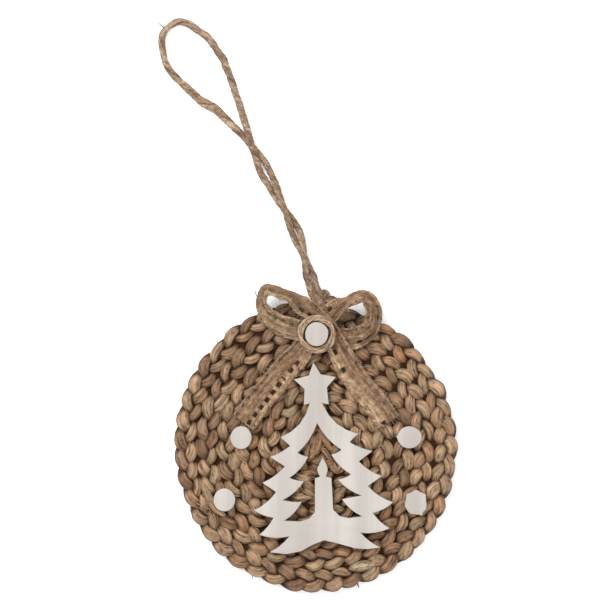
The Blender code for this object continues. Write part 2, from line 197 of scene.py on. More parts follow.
def makeFibreTree():
    tree, given, result = newTree("looseFibres", "GeometryNodeTree", {
        "Geometry": "Geometry", "Density": 100000.0, "Length": 1.5 * mm, "Radius": 0.05 * mm,
        "Lean": 1.0, "Lowest": 1.8 * mm, "Seed": 0, "Material": "Material",
    }, {"Geometry": "Geometry"})
    asked = given.outputs
    facing = parted(tree, tree.nodes.new("GeometryNodeInputNormal"))[2]
    height = parted(tree, tree.nodes.new("GeometryNodeInputPosition"))[2]
    bearing = calc(tree, "MULTIPLY", calc(tree, "GREATER_THAN", facing, fibreShape["facing"]),
                   calc(tree, "GREATER_THAN", height, asked["Lowest"]))
    spots = addNode(tree, "GeometryNodeDistributePointsOnFaces", {
        "Mesh": asked["Geometry"], "Density": asked["Density"], "Selection": bearing, "Seed": asked["Seed"],
    })
    bent = addNode(tree, "GeometryNodeCurveQuadraticBezier", {
        "Resolution": 4, "Start": (0, 0, 0), "Middle": fibreShape["middle"], "End": fibreShape["end"],
    })
    along = addNode(tree, "GeometryNodeSplineParameter").outputs["Factor"]
    thin = calc(tree, "SUBTRACT", 1.0, calc(tree, "MULTIPLY", along, fibreShape["thinning"]))
    thick = calc(tree, "MULTIPLY", thin, calc(tree, "DIVIDE", asked["Radius"], asked["Length"]))
    outline = addNode(tree, "GeometryNodeCurvePrimitiveCircle", {"Resolution": 3, "Radius": 1.0})
    fibre = addNode(tree, "GeometryNodeCurveToMesh",
                    {"Curve": bent, "Profile Curve": outline, "Scale": thick, "Fill Caps": True})
    lean, spin = asked["Lean"], fibreShape["spin"]
    back = calc(tree, "MULTIPLY", lean, -1.0)
    tilt = addNode(tree, "FunctionNodeRandomValue", {
        "Min": joined(tree, back, back, -spin),
        "Max": joined(tree, lean, lean, spin),
        "Seed": asked["Seed"],
    }, data_type="FLOAT_VECTOR")
    turned = addNode(tree, "FunctionNodeRotateRotation", {
        0: spots.outputs["Rotation"], 1: addNode(tree, "FunctionNodeEulerToRotation", {0: tilt}),
    }, rotation_space="LOCAL")
    size = tree.nodes.new("FunctionNodeRandomValue")
    for key, value in zip(("Min", "Max"), fibreShape["sizes"]):
        next(s for s in size.inputs if s.name == key and s.type == "VALUE").default_value = value
    feed(tree, size.inputs["Seed"], calc(tree, "ADD", asked["Seed"], fibreShape["sizeSeed"]))
    grown = next(s for s in size.outputs if s.type == "VALUE")
    laid = addNode(tree, "GeometryNodeInstanceOnPoints", {
        "Points": spots.outputs["Points"], "Instance": fibre, "Rotation": turned,
        "Scale": calc(tree, "MULTIPLY", grown, asked["Length"]),
    })
    toned = addNode(tree, "GeometryNodeStoreNamedAttribute",
                    {"Geometry": laid, "Name": "tone", "Value": grown}, data_type="FLOAT", domain="INSTANCE")
    endTree(tree, result, toned, asked["Material"])
    return tree


sweepTree = makeSweepTree()
fibreTree = makeFibreTree()


# Pieces

def linked(thing):
    bpy.context.scene.collection.objects.link(thing)
    return thing


def addPiece(name, mesh):
    piece = linked(bpy.data.objects.new(name, mesh))
    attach(piece, "root")
    return piece


def outward(mesh):
    corners = np.zeros(len(mesh.vertices) * 3)
    mesh.vertices.foreach_get("co", corners)
    corners = corners.reshape(-1, 3)
    mesh.calc_loop_triangles()
    faces = np.zeros(len(mesh.loop_triangles) * 3, int)
    mesh.loop_triangles.foreach_get("vertices", faces)
    a, b, c = (corners[faces[i::3]] for i in range(3))
    if (a * np.cross(b, c)).sum() < 0:
        mesh.flip_normals()


def plainMesh(worker, name):
    graph = bpy.context.evaluated_depsgraph_get()
    shaped = worker.evaluated_get(graph)
    mesh = bpy.data.meshes.new_from_object(shaped, preserve_all_data_layers=True, depsgraph=graph)
    mesh.name = name
    bpy.data.objects.remove(worker, do_unlink=True)
    return mesh


def throughTree(name, mesh, tree, values):
    worker = linked(bpy.data.objects.new(name + "Work", mesh))
    modifier = worker.modifiers.new("tree", "NODES")
    modifier.node_group = tree
    for item in tree.interface.items_tree:
        if item.in_out == "INPUT" and item.name in values:
            modifier[item.identifier] = values[item.name]
    return plainMesh(worker, name)


# Strands are dictionaries of numpy arrays, one row for each point of the path
strandVectors = ("centre", "sideways", "upwards")
strandNumbers = ("halfWidth", "halfHeight", "ridgeShare", "run", "tone")
keptNumbers = ("run", "tone")  # what the materials read


def sweep(name, strands, values, look):
    edges = []
    start = 0
    for strand in strands:
        end = start + len(strand["centre"])
        edges += [(i, i + 1) for i in range(start, end - 1)]
        if strand.get("closed"):
            edges.append((end - 1, start))
        start = end
    path = bpy.data.meshes.new(name)
    path.from_pydata(np.vstack([strand["centre"] for strand in strands]).tolist(), edges, [])
    for key in strandVectors:
        data = path.attributes.new(key, "FLOAT_VECTOR", "POINT").data
        whole = np.vstack([strand[key] for strand in strands])
        data.foreach_set("vector", whole.astype(np.float32).ravel())
    for key in strandNumbers:
        data = path.attributes.new(key, "FLOAT", "POINT").data
        whole = [np.broadcast_to(strand.get(key, 1.0), len(strand["centre"])) for strand in strands]
        data.foreach_set("value", np.concatenate(whole).astype(np.float32))
    mesh = throughTree(name, path, sweepTree, {**values, "Material": look})
    outward(mesh)
    for key in (*strandVectors, *strandNumbers):
        if key in mesh.attributes and key not in keptNumbers:
            mesh.attributes.remove(mesh.attributes[key])
    return addPiece(name, mesh)


def strayFibres(name, pieces, values, look):
    built = bmesh.new()
    for piece in pieces:
        built.from_mesh(piece.data)
    host = bpy.data.meshes.new(name)
    built.to_mesh(host)
    built.free()
    return addPiece(name, throughTree(name, host, fibreTree, {**values, "Material": look}))


# Routes

curveParts = 12
slowWaves = {"count": 4, "heights": (0.4, 1), "lengths": (0.6, 0.45), "whole": 2.2}
thread = {"step": 0.3 * mm, "thinning": 0.55}


def unit(vectors):
    return vectors / np.maximum(np.linalg.norm(vectors, axis=-1, keepdims=True), 1e-12)


def smoothStep(share):
    share = np.clip(share, 0, 1)
    return share * share * (3 - 2 * share)


def eased(least, share):
    return least + (1 - least) * share


def smoothRoute(rows, step):
    rows = np.array(rows, float)
    ends = np.vstack([rows[:1], rows, rows[-1:]])
    t = np.linspace(0, 1, curveParts, endpoint=False)[:, None]
    dense = [
        0.5 * (2 * b + (c - a) * t + (2 * a - 5 * b + 4 * c - d) * t ** 2
               + (3 * b - a - 3 * c + d) * t ** 3)
        for a, b, c, d in zip(ends, ends[1:], ends[2:], ends[3:])
    ]
    return evenly(np.vstack([*dense, rows[-1:]]), step)


def evenly(dense, step):
    run = runOf(dense[:, :3])
    wanted = np.linspace(0, run[-1], max(2, round(run[-1] / step)) + 1)
    return np.column_stack([np.interp(wanted, run, column) for column in dense.T])


def runOf(points):
    return np.concatenate([[0], np.cumsum(np.linalg.norm(np.diff(points, axis=0), axis=1))])


def framed(points, roll=0.0, closed=False):
    if closed:
        along = unit(np.roll(points, -1, axis=0) - np.roll(points, 1, axis=0))
    else:
        along = unit(np.gradient(points, axis=0))
    up = np.broadcast_to((0.0, 0.0, 1.0), points.shape)
    lift = unit(up - (up * along).sum(1, keepdims=True) * along)
    side = np.cross(along, lift)
    turned = np.broadcast_to(roll, len(points))[:, None]
    return side * np.cos(turned) + lift * np.sin(turned), lift * np.cos(turned) - side * np.sin(turned)


def slowWave(run, length, seed):
    shape = np.random.default_rng(seed)
    first, more = slowWaves["lengths"]
    total = np.zeros(len(run))
    for k in range(slowWaves["count"]):
        height = shape.uniform(*slowWaves["heights"])
        start = shape.uniform(0, math.tau)
        total += height * np.sin(run * math.tau / (length * (first + more * k)) + start)
    return total / slowWaves["whole"]


def strandAlong(points, halfWidth, halfHeight, run, tone, roll=0.0, **more):
    side, lift = framed(points, roll, more.get("closed", False))
    return {"centre": points, "sideways": side, "upwards": lift, "halfWidth": halfWidth,
            "halfHeight": halfHeight, "run": run, "tone": tone, **more}


def taperedStrand(points, radius, thinning, tone, start):
    thin = radius * (1 - thinning * np.linspace(0, 1, len(points)))
    return strandAlong(points, thin, thin, runOf(points) + start, tone)


def threadStrand(points, radius, tone, start):
    return taperedStrand(evenly(points, thread["step"]), radius, thread["thinning"], tone, start)


# Shared shading

streaks = {
    "seedStep": 57.0,
    "broadNoise": (1.0, 0.55),  # scale and roughness
    "fineNoise": (3.4, 0.6),
    "detail": 3.0,
    "broad": (0.3, 0.7),        # the part of each noise that shows
    "fine": (0.52, 0.72),
    "mottle": (0.36, 0.64),
    "relief": 0.3 * mm,
}


def makeFibreGroup():
    tree, given, result = newTree("fibreStreaks", "ShaderNodeTree", {
        "Ring": "Vector", "Run": 0.0, "Seed": 0.0, "Across": 4.0, "Along": 120.0,
    }, {"Broad": "Float", "Fine": "Float"})
    asked = given.outputs
    sidePart, liftPart, _ = parted(tree, asked["Ring"])
    place = joined(
        tree,
        calc(tree, "MULTIPLY", sidePart, asked["Across"]),
        calc(tree, "MULTIPLY", liftPart, asked["Across"]),
        calc(tree, "ADD", calc(tree, "MULTIPLY", asked["Run"], asked["Along"]),
             calc(tree, "MULTIPLY", asked["Seed"], streaks["seedStep"])),
    )
    for socket, key in zip(result.inputs, ("broadNoise", "fineNoise")):
        scale, roughness = streaks[key]
        feed(tree, socket, addNode(tree, "ShaderNodeTexNoise", {
            "Vector": place, "Scale": scale, "Detail": streaks["detail"], "Roughness": roughness,
        }))
    return tree


fibreGroup = makeFibreGroup()


def attribute(tree, name, output="Fac"):
    node = addNode(tree, "ShaderNodeAttribute", attribute_name=name, attribute_type="GEOMETRY")
    return node.outputs[output]


def ownPlace(tree):
    return addNode(tree, "ShaderNodeTexCoord").outputs["Object"]


def ramp(tree, value, stops):
    node = addNode(tree, "ShaderNodeValToRGB", {0: value})
    band = node.color_ramp
    while len(band.elements) < len(stops):
        band.elements.new(0.5)
    for element, (place, colour) in zip(band.elements, stops):
        element.position = place
        element.color = (*colour, 1)
    return node.outputs[0]


def mixColour(tree, factor, a, b, blend="MIX"):
    node = addNode(tree, "ShaderNodeMix", data_type="RGBA", blend_type=blend)
    feed(tree, node.inputs[0], factor)
    for socket, value in ((node.inputs[6], a), (node.inputs[7], b)):
        feed(tree, socket, (*value, 1) if isinstance(value, tuple) else value)
    return node.outputs[2]


def dimmed(tree, colour, shade):
    grey = addNode(tree, "ShaderNodeCombineColor", {0: shade, 1: shade, 2: shade})
    return mixColour(tree, 1.0, colour, grey, "MULTIPLY")


def newMaterial(name, roughness, **constants):
    look = bpy.data.materials.new(name)
    look.use_nodes = True
    shader = look.node_tree.nodes["Principled BSDF"]
    shader.inputs["Roughness"].default_value = roughness
    for key, value in constants.items():
        shader.inputs[key.replace("_", " ")].default_value = value
    return look, look.node_tree, shader


def srgb(*values):
    return tuple(((v / 255 + 0.055) / 1.055) ** 2.4 if v > 10 else v / 255 / 12.92 for v in values)


def fibreMaterial(name, values):
    look, tree, shader = newMaterial(name, values["roughness"], Specular_IOR_Level=values["specular"])
    tone = attribute(tree, "tone")
    ring = attribute(tree, "ring", "Vector")
    fibres = addNode(tree, "ShaderNodeGroup", {
        "Ring": ring, "Run": attribute(tree, "run"), "Seed": tone,
        "Across": values["across"], "Along": values["along"],
    }, node_tree=fibreGroup).outputs
    colour = ramp(tree, tone, values["tones"])
    colour = dimmed(tree, colour, remap(tree, fibres["Broad"], *streaks["broad"], *values["streaks"]))
    size, low, high = values["mottle"]
    spots = addNode(tree, "ShaderNodeTexNoise",
                    {"Vector": ownPlace(tree), "Scale": 1 / size, "Detail": streaks["detail"]})
    spots = remap(tree, spots, *streaks["mottle"], low, high)
    # Painted light: the disc is made lighter towards its right
    if "paintedLightRight" in values:
        start, end, most = values["paintedLightRight"]
        across = parted(tree, ownPlace(tree))[0]
        spots = calc(tree, "MULTIPLY", spots, remap(tree, across, start, end, 1.0, most))
    colour = dimmed(tree, colour, spots)
    fineMask = remap(tree, fibres["Fine"], *streaks["fine"], 0.0, values["fineShare"])
    colour = mixColour(tree, fineMask, colour, values["fineTone"])
    # Painted shade: the crease mask darkens grooves and holes; on the ribbon it also carries the cloth's own
    # dark streaks
    dark = calc(tree, "MULTIPLY", attribute(tree, "crease"), values["darkLineAndShadeShare"])
    # Painted shade at a strand's sides, where they dip into the crevices
    if "edge" in values:
        start, most = values["edge"]
        reach = calc(tree, "ABSOLUTE", parted(tree, ring)[0])
        dark = calc(tree, "MAXIMUM", dark, remap(tree, reach, start, 1.0, 0.0, most))
    # Painted shade at the strands' middle height, in the crevices between them
    if "deep" in values:
        middle, near, far, most = values["deep"]
        depth = calc(tree, "ABSOLUTE", calc(tree, "SUBTRACT", parted(tree, ownPlace(tree))[2], middle))
        dark = calc(tree, "MAXIMUM", dark, remap(tree, depth, near, far, most, 0.0))
    feed(tree, shader.inputs["Base Color"], mixColour(tree, dark, colour, values["darkLineAndShadeTone"]))
    bump = addNode(tree, "ShaderNodeBump", {
        "Height": fibres["Fine"], "Strength": values["bump"], "Distance": streaks["relief"],
    })
    feed(tree, shader.inputs["Normal"], bump)
    return look


# Camera and light

shot = {
    "frame": 261.4 * mm,  # width of the photograph at the height of the front
    "centre": (-4.54 * mm, 61.1 * mm, 5.0 * mm),
    "distance": 1.25,
    "sensor": 36.0,
    "clip": (0.05, 10),
}


def addCamera():
    data = bpy.data.cameras.new("camera")
    data.sensor_width = shot["sensor"]
    data.lens = shot["sensor"] * shot["distance"] / shot["frame"]
    data.clip_start, data.clip_end = shot["clip"]
    camera = linked(bpy.data.objects.new("camera", data))
    x, y, z = shot["centre"]
    camera.location = (x, y, z + shot["distance"])
    bpy.context.scene.camera = camera


light = {
    "sky": 0.86,
    "lamps": (  # name, place, size, power
        ("keyLamp", (-0.5, 0.6, 0.95), 0.7, 12.0),
        ("fillLamp", (0.7, -0.3, 1.0), 0.9, 4.0),
    ),
    "aim": (0.0, 0.03, 0.0),
    "floor": {"Base_Color": (0.96, 0.96, 0.96, 1), "Specular_IOR_Level": 0.1,
              "Emission_Color": (1, 1, 1, 1), "Emission_Strength": 0.2},
    "floorRoughness": 0.9,
    "floorSize": 3.0,
}


def addLight():
    world = bpy.data.worlds.new("studio")
    world.use_nodes = True
    sky = world.node_tree.nodes["Background"].inputs
    sky["Color"].default_value = (1, 1, 1, 1)
    sky["Strength"].default_value = light["sky"]
    bpy.context.scene.world = world
    for name, place, size, power in light["lamps"]:
        data = bpy.data.lights.new(name, "AREA")
        data.shape = "DISK"
        data.size = size
        data.energy = power
        lamp = linked(bpy.data.objects.new(name, data))
        lamp.location = place
        lamp.rotation_euler = (Vector(light["aim"]) - Vector(place)).to_track_quat("-Z", "Y").to_euler()
    half = light["floorSize"] / 2
    mesh = bpy.data.meshes.new("floor")
    corners = [(-half, -half, 0), (half, -half, 0), (half, half, 0), (-half, half, 0)]
    mesh.from_pydata(corners, [], [(0, 1, 2, 3)])
    mesh.materials.append(newMaterial("paleFloor", light["floorRoughness"], **light["floor"])[0])
    linked(bpy.data.objects.new("floor", mesh))
    bpy.context.scene.view_settings.view_transform = "Standard"


addCamera()
addLight()
print("camera and light set")


# Plaited disc, as the frame has it: rows wound clockwise from the eye

plait = {
    "rowPitch": 8.95 * mm,
    "rowCount": 7,
    "eyeRadius": 6.9 * mm,
    "eyeHole": 0.1 * mm,
    "clearance": 0.3 * mm,
    "jogShare": 0.2,
    "jogAngle": math.radians(60),
    "narrowest": 1.2 * mm,
    "roundness": (0.014, math.radians(100)),
    "endBulge": (0.018, math.radians(118), math.radians(24)),
    "leafPitch": 8.2 * mm,
    "step": 0.7 * mm,
    "middle": 3.3 * mm,
    "spread": 3.05 * mm,
    "sharpTurn": -0.05,
    "rise": 1.65 * mm,
    "peakShift": -0.28,
    "halfWidth": 2.5 * mm,
    "halfHeight": 1.6 * mm,
    "endTaper": 0.34,
    "roll": 0.3,
    "rollJitter": 0.5,
    "drift": (0.22 * mm, 60 * mm, 3),  # height, length and seed
    "waver": (0.24, 28 * mm, 20),
    "routePoints": 30000,
    "blend": 0.12,
    "leafNumbers": 8,
    "runStep": 3.1,
    "seedStep": 7.3,
    "seed": 11,
}

# What a leaf's own random numbers change
leafVariety = {
    "spread": 0.16,
    "shift": 0.6 * mm,
    "rise": 0.2,
    "width": (0.78, 0.44),
    "height": (0.95, 0.2),
    "run": 0.9,
}

# What is left of a measure where the row is narrowest, and of the height where a leaf is narrowest
leastShare = {"rise": 0.55, "width": 0.5, "height": 0.6, "taper": 0.6}

leafLook = {
    "roughness": 0.55,
    "specular": 0.22,
    "across": 3.4,
    "along": 60.0,
    "tones": (
        (0.0, srgb(118, 89, 66)),
        (0.25, srgb(142, 112, 86)),
        (0.45, srgb(160, 131, 103)),
        (0.6, srgb(145, 118, 92)),
        (0.75, srgb(152, 126, 97)),
        (0.9, srgb(141, 110, 82)),
        (0.985, srgb(141, 103, 74)),
        (0.999, srgb(152, 133, 106)),
    ),
    "streaks": (0.52, 1.48),  # darkest and lightest
    "fineShare": 0.68,
    "fineTone": srgb(88, 61, 40),
    "darkLineAndShadeShare": 0.9,
    "darkLineAndShadeTone": srgb(54, 33, 20),
    "deep": (3.3 * mm, 0.5 * mm, 2.1 * mm, 0.95),  # painted shade about the strands' middle height, where the crevices lie: the middle height, from where to where off it, and how dark
    "mottle": (3.2 * mm, 0.8, 1.16),  # size, darkest and lightest
    "paintedLightRight": (0.01, 0.055, 1.1),  # painted light: lighter towards the right of the disc, from where to where across, and how much lighter
    "edge": (0.78, 0.95),  # how far out the painted shade at a leaf's edges starts, and how dark it is
    "bump": 0.7,
}


def rowEdge(turn):
    whole = np.floor(turn)
    share = smoothStep((turn - whole - 1 + plait["jogShare"]) / plait["jogShare"])
    last = plait["rowCount"] - 1
    inner, outer = (
        np.where(k < 0, plait["eyeHole"], plait["eyeRadius"] + np.minimum(k, last) * plait["rowPitch"])
        for k in (whole, whole + 1)
    )
    return inner + (outer - inner) * share


def outOfRound(angle):
    uneven, where = plait["roundness"]
    bulge, peak, spread = plait["endBulge"]
    off = (angle - peak + math.pi) % math.tau - math.pi
    return 1 + uneven * np.cos(2 * (angle - where)) + bulge * np.exp(-((off / spread) ** 2))


def rowRoute():
    turn = np.linspace(-plait["jogShare"], plait["rowCount"], plait["routePoints"])
    inner = rowEdge(turn - 1) + plait["clearance"]
    outer = rowEdge(turn)
    wide = outer - inner > plait["narrowest"]
    turn, inner, outer = turn[wide], inner[wide], outer[wide]
    angle = plait["jogAngle"] - turn * math.tau
    stretch = outOfRound(angle)
    middle = (inner + outer) / 2 * stretch
    half = (outer - inner) / 2
    rows = np.column_stack([middle * np.cos(angle), middle * np.sin(angle), turn * 0, angle, half])
    return evenly(rows, plait["step"])


def leafValues(turns, strand):
    # A leaf runs from one hidden crossing to the next, and blends into its neighbour there
    where = (turns + math.pi / 4 + plait["peakShift"] / 2) / math.pi
    index = np.floor(where).astype(int)
    part = where - index
    shape = np.random.default_rng(plait["seed"] + strand)
    table = shape.uniform(0, 1, (index.max() + 3, plait["leafNumbers"]))
    before = 0.5 * smoothStep((plait["blend"] - part) / plait["blend"])[:, None]
    after = 0.5 * smoothStep((part - (1 - plait["blend"])) / plait["blend"])[:, None]
    return table[index + 1] * (1 - before - after) + table[index] * before + table[index + 2] * after


def plaitStrands():
    rows = rowRoute()
    centre, angle, half = rows[:, :3], rows[:, 3], rows[:, 4]
    run = runOf(centre)
    share = np.minimum(1, half * 2 / plait["rowPitch"])
    away = np.column_stack([np.cos(angle), np.sin(angle), angle * 0])
    drift, driftLength, driftSeed = plait["drift"]
    drift = slowWave(run, driftLength, driftSeed) * drift
    waver, waverLength, waverSeed = plait["waver"]
    strands = []
    for k in range(3):
        phase = run * math.tau / (3 * plait["leafPitch"]) + k * math.tau / 3
        phase = phase + waver * slowWave(run, waverLength, waverSeed + k)
        leaf = leafValues(phase, k)
        sideways = np.sin(phase)
        swing = sideways - plait["sharpTurn"] * np.sin(3 * phase)
        across = plait["spread"] * swing * (1 + leafVariety["spread"] * (leaf[:, 0] - 0.5))
        across = (across + leafVariety["shift"] * (leaf[:, 1] - 0.5)) * share
        rise = plait["rise"] * np.sin(2 * phase + plait["peakShift"])
        rise = rise * (1 + leafVariety["rise"] * (leaf[:, 2] - 0.5)) * eased(leastShare["rise"], share)
        points = centre + away * (across + drift)[:, None]
        points[:, 2] += plait["middle"] + rise
        roll = plait["roll"] * sideways + plait["rollJitter"] * (leaf[:, 7] - 0.5)
        taper = 1 - plait["endTaper"] * np.sin(phase - math.pi / 4 + plait["peakShift"] / 2) ** 2
        (least, extra), (leastHigh, extraHigh) = leafVariety["width"], leafVariety["height"]
        wide = plait["halfWidth"] * taper * (least + extra * leaf[:, 3]) * eased(leastShare["width"], share)
        high = plait["halfHeight"] * eased(leastShare["taper"], taper)
        high = high * (leastHigh + extraHigh * leaf[:, 4]) * eased(leastShare["height"], share)
        place = run + k * plait["runStep"] + leafVariety["run"] * leaf[:, 6]
        strands.append(strandAlong(points, wide, high, place, leaf[:, 5], roll))
    return strands


strandNames = ("plaitStrandOne", "plaitStrandTwo", "plaitStrandThree")
strandShape = {
    "Sides": 36,
    "Ridge Depth": 1.1 * mm,
    "Ridge Count": 2.7,
    "Ridge Length": 11 * mm,
    "Crease Depth": 0.42 * mm,
    "Crease Width": 0.034,
    "Wrinkle Depth": 0.34 * mm,
    "Wrinkle Size": 1.5 * mm,
}


def thinShape(shape, sides, ridge, wrinkle, crease=0.0):
    return {**shape, "Sides": sides, "Ridge Depth": ridge, "Wrinkle Depth": wrinkle, "Crease Depth": crease}


def makePlait():
    look = fibreMaterial("dryLeaf", leafLook)
    for k, (name, strand) in enumerate(zip(strandNames, plaitStrands())):
        piece = sweep(name, [strand], {**strandShape, "Seed": plait["seedStep"] * k}, look)
        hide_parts("plaited_disc")


makePlait()
print("plait wound")


# White wood: the frame's own outlines, with softened edges

wood = {
    "edge": 0.28 * mm,
    "edgeSteps": 3,
    "edgeAngle": math.radians(60),
    "sharpAngle": math.radians(40),
    "flatAngle": math.radians(2),
    "weld": 0.01 * mm,
    "nodes": (
        "fir_tree", "dot_upper_left", "dot_lower_left", "dot_upper_right", "dot_lower_right", "dot_on_bow",
    ),
    "roughness": 0.72,
    "specular": 0.25,
    "paint": srgb(183, 178, 171),
    "shade": srgb(167, 160, 153),
    "chips": {  # angle in degrees, how far it stands out in mm, spread in degrees
        "dot_upper_right": ((178, 0.55, 4), (150, -0.2, 14), (215, -0.15, 14), (60, -0.15, 20)),
        "dot_lower_right": (
            (140, 0.35, 8), (115, -0.3, 9), (90, 0.3, 8), (64, -0.3, 9), (38, 0.5, 8), (5, -0.35, 14),
            (-28, 0.25, 8), (-62, 0.95, 6), (-95, -0.5, 14), (196, 0.2, 9), (165, -0.3, 10),
        ),
        "dot_on_bow": ((170, -0.15, 30), (-20, -0.2, 25)),
    },
    "dotSides": 72,
    "uneven": 0.012,
    "grainScale": (420.0, 16.0, 60.0),  # across, along and deep
    "grainTurn": (0, 0, math.radians(-3.5)),
    "grain": {"Scale": 1.0, "Detail": 4.0, "Roughness": 0.6},
    "bands": {"Scale": 0.28, "Detail": 1.0},
    "grainShare": 0.35,
    "shown": (0.38, 0.66),
    "bump": {"Strength": 0.12, "Distance": 0.3 * mm},
}


def woodMaterial():
    look, tree, shader = newMaterial("whitewash", wood["roughness"], Specular_IOR_Level=wood["specular"])
    place = addNode(tree, "ShaderNodeMapping", {
        "Vector": ownPlace(tree), "Rotation": wood["grainTurn"], "Scale": wood["grainScale"],
    })
    grain = addNode(tree, "ShaderNodeTexNoise", {"Vector": place, **wood["grain"]})
    bands = addNode(tree, "ShaderNodeTexNoise", {"Vector": place, **wood["bands"]})
    shade = calc(tree, "ADD", calc(tree, "MULTIPLY", grain, wood["grainShare"]),
                 calc(tree, "MULTIPLY", bands, 1 - wood["grainShare"]))
    colour = mixColour(tree, remap(tree, shade, *wood["shown"]), wood["shade"], wood["paint"])
    feed(tree, shader.inputs["Base Color"], colour)
    feed(tree, shader.inputs["Normal"], addNode(tree, "ShaderNodeBump", {"Height": grain, **wood["bump"]}))
    return look


def chipped(node, angle):
    push = 0.0
    for at, out, spread in wood["chips"].get(node, ()):
        off = (math.degrees(angle) - at + 180) % 360 - 180
        push += out * mm * math.exp(-((off / spread) ** 2))
    return push


def dotMesh(node):
    # A hand-cut round: the frame's own size, with a finer and less even outline
    low, high = (np.array(corner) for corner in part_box(node))
    (x, y, _), (wide, deep, _) = (low + high) / 2, (high - low) / 2
    count = wood["dotSides"]
    angle = np.arange(count) * math.tau / count
    reach = 1 + wood["uneven"] * slowWave(angle, math.tau / 2, len(node))
    points = []
    for z in (high[2], low[2]):
        for a, r in zip(angle, reach):
            push = chipped(node, a)
            points.append((x + (wide * r + push) * math.cos(a), y + (deep * r + push) * math.sin(a), z))
    sides = [(i + count, (i + 1) % count + count, (i + 1) % count, i) for i in range(count)]
    mesh = bpy.data.meshes.new(node + "Painted")
    mesh.from_pydata(points, [], [tuple(range(count)), tuple(reversed(range(count, 2 * count))), *sides])
    return mesh


def cutOutMesh(node):
    built = bmesh.new()
    built.from_mesh(bpy.data.objects[node].data)
    bmesh.ops.remove_doubles(built, verts=built.verts, dist=wood["weld"])
    bmesh.ops.recalc_face_normals(built, faces=built.faces)
    bmesh.ops.dissolve_limit(built, angle_limit=wood["flatAngle"], verts=built.verts, edges=built.edges)
    mesh = bpy.data.meshes.new(node + "Painted")
    built.to_mesh(mesh)
    built.free()
    return mesh


def makeWood():
    look = woodMaterial()
    for node in wood["nodes"]:
        rough = dotMesh(node) if node.startswith("dot") else cutOutMesh(node)
        worker = linked(bpy.data.objects.new("woodWork", rough))
        bevel = worker.modifiers.new("softEdge", "BEVEL")
        bevel.width = wood["edge"]
        bevel.segments = wood["edgeSteps"]
        bevel.limit_method = "ANGLE"
        bevel.angle_limit = wood["edgeAngle"]
        mesh = plainMesh(worker, node + "Painted")
        mesh.shade_smooth()
        mesh.set_sharp_from_angle(angle=wood["sharpAngle"])
        mesh.materials.clear()
        mesh.materials.append(look)
        outward(mesh)
        piece = addPiece(node + "Painted", mesh)
        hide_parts(node)


makeWood()
print("wood painted")


# Twine: two plies twisted together, along the frame's own route on the floor

discRadius = plait["eyeRadius"] + (plait["rowCount"] - 1) * plait["rowPitch"]
discTop = discRadius * float(outOfRound(math.pi / 2))

twine = {
    "diameter": 2.8 * mm,
    "step": 0.6 * mm,
    "rest": 1.45 * mm,
    "over": 4.55 * mm,
    "knotAcross": 0.6 * mm,
    "knotReach": 2.6 * mm,
    "knotHeight": 3.1 * mm,
    "length": 0.27,
    "offset": 0.44,
    "plyWidth": 0.6,
    "plyDepth": 0.9,
    "plump": (0.07, 14 * mm),  # height and length of the wave
    "tone": (0.5, 0.42, 22 * mm),
    "runStep": 0.37,
    "seed": 2,
    "endRadius": 0.34 * mm,
}

# Across and up from the top of the knot, and height: 0 on the surface, 1 over the other leg
hangerRoute = (
    (-0.1, 0.5, 0.35), (-0.9, 4.3, 0.15), (-2.1, 7.7, 0), (-5.5, 14.5, 0), (-8.8, 20.5, 0),
    (-11, 25.5, 0.3), (-12.3, 30.0, 0.9), (-14.1, 35.3, 1), (-15.9, 40.0, 0.85), (-17.2, 44.1, 0.65),
    (-18.9, 48.4, 0.1), (-20.8, 52.5, 0), (-23.1, 56.5, 0), (-27.7, 61.7, 0), (-31.5, 66.4, 0),
    (-36.9, 71.5, 0), (-42.6, 77.3, 0), (-45.6, 79.4, 0), (-49.7, 81.5, 0), (-53, 84.6, 0),
    (-56.3, 87.6, 0), (-59.8, 90.9, 0), (-62.8, 94.2, 0), (-64.7, 97.2, 0), (-66, 101.3, 0),
    (-66.7, 105.9, 0), (-66.6, 108.9, 0), (-65.3, 111.9, 0), (-62.6, 114.4, 0), (-59.3, 115.7, 0),
    (-55.2, 114.7, 0), (-51.1, 111.9, 0), (-47.8, 109.7, 0), (-45, 106.5, 0), (-42.7, 102.9, 0),
    (-40.4, 99.7, 0), (-38.9, 95.8, 0), (-37.4, 92.0, 0), (-36, 88.1, 0), (-34.9, 84.3, 0),
    (-33.6, 81.1, 0), (-32.5, 77.5, 0), (-30.8, 71.5, 0.4), (-29.1, 66.2, 1), (-28, 61.7, 1),
    (-26.7, 58.3, 1), (-25.5, 54.6, 0.5), (-24.2, 50.5, 0), (-21.2, 45.8, 0), (-18, 40.5, 0),
    (-14.1, 35.1, 0), (-10.9, 31.3, 0), (-8.6, 27.8, 0), (-7.2, 24.8, 0.3), (-6.2, 20.5, 0.85),
    (-5.4, 14.5, 1), (-5, 10.3, 0.95), (-4.8, 6.8, 0.55), (-3.9, 4.0, 0.45), (-3, 0.5, 0.75),
)

# Share of the way along, ply pitch in mm and swelling
twineTwist = (
    (0.0, 15, 0.95), (0.12, 17, 0.98), (0.22, 18, 1.0), (0.3, 19, 1.12), (0.345, 18, 1.45),
    (0.37, 20, 1.22), (0.42, 26, 1.02), (0.5, 34, 1.0), (0.55, 26, 1.12), (0.6, 13, 1.14),
    (0.68, 11, 1.1), (0.76, 11, 1.03), (0.86, 15, 0.97), (1.0, 16, 0.95),
)

# A loose end beside the loop, in mm
strayTwine = ((-64.2, 179.4, 1.6), (-66.3, 181.2, 2.6), (-68.0, 182.5, 2.2))

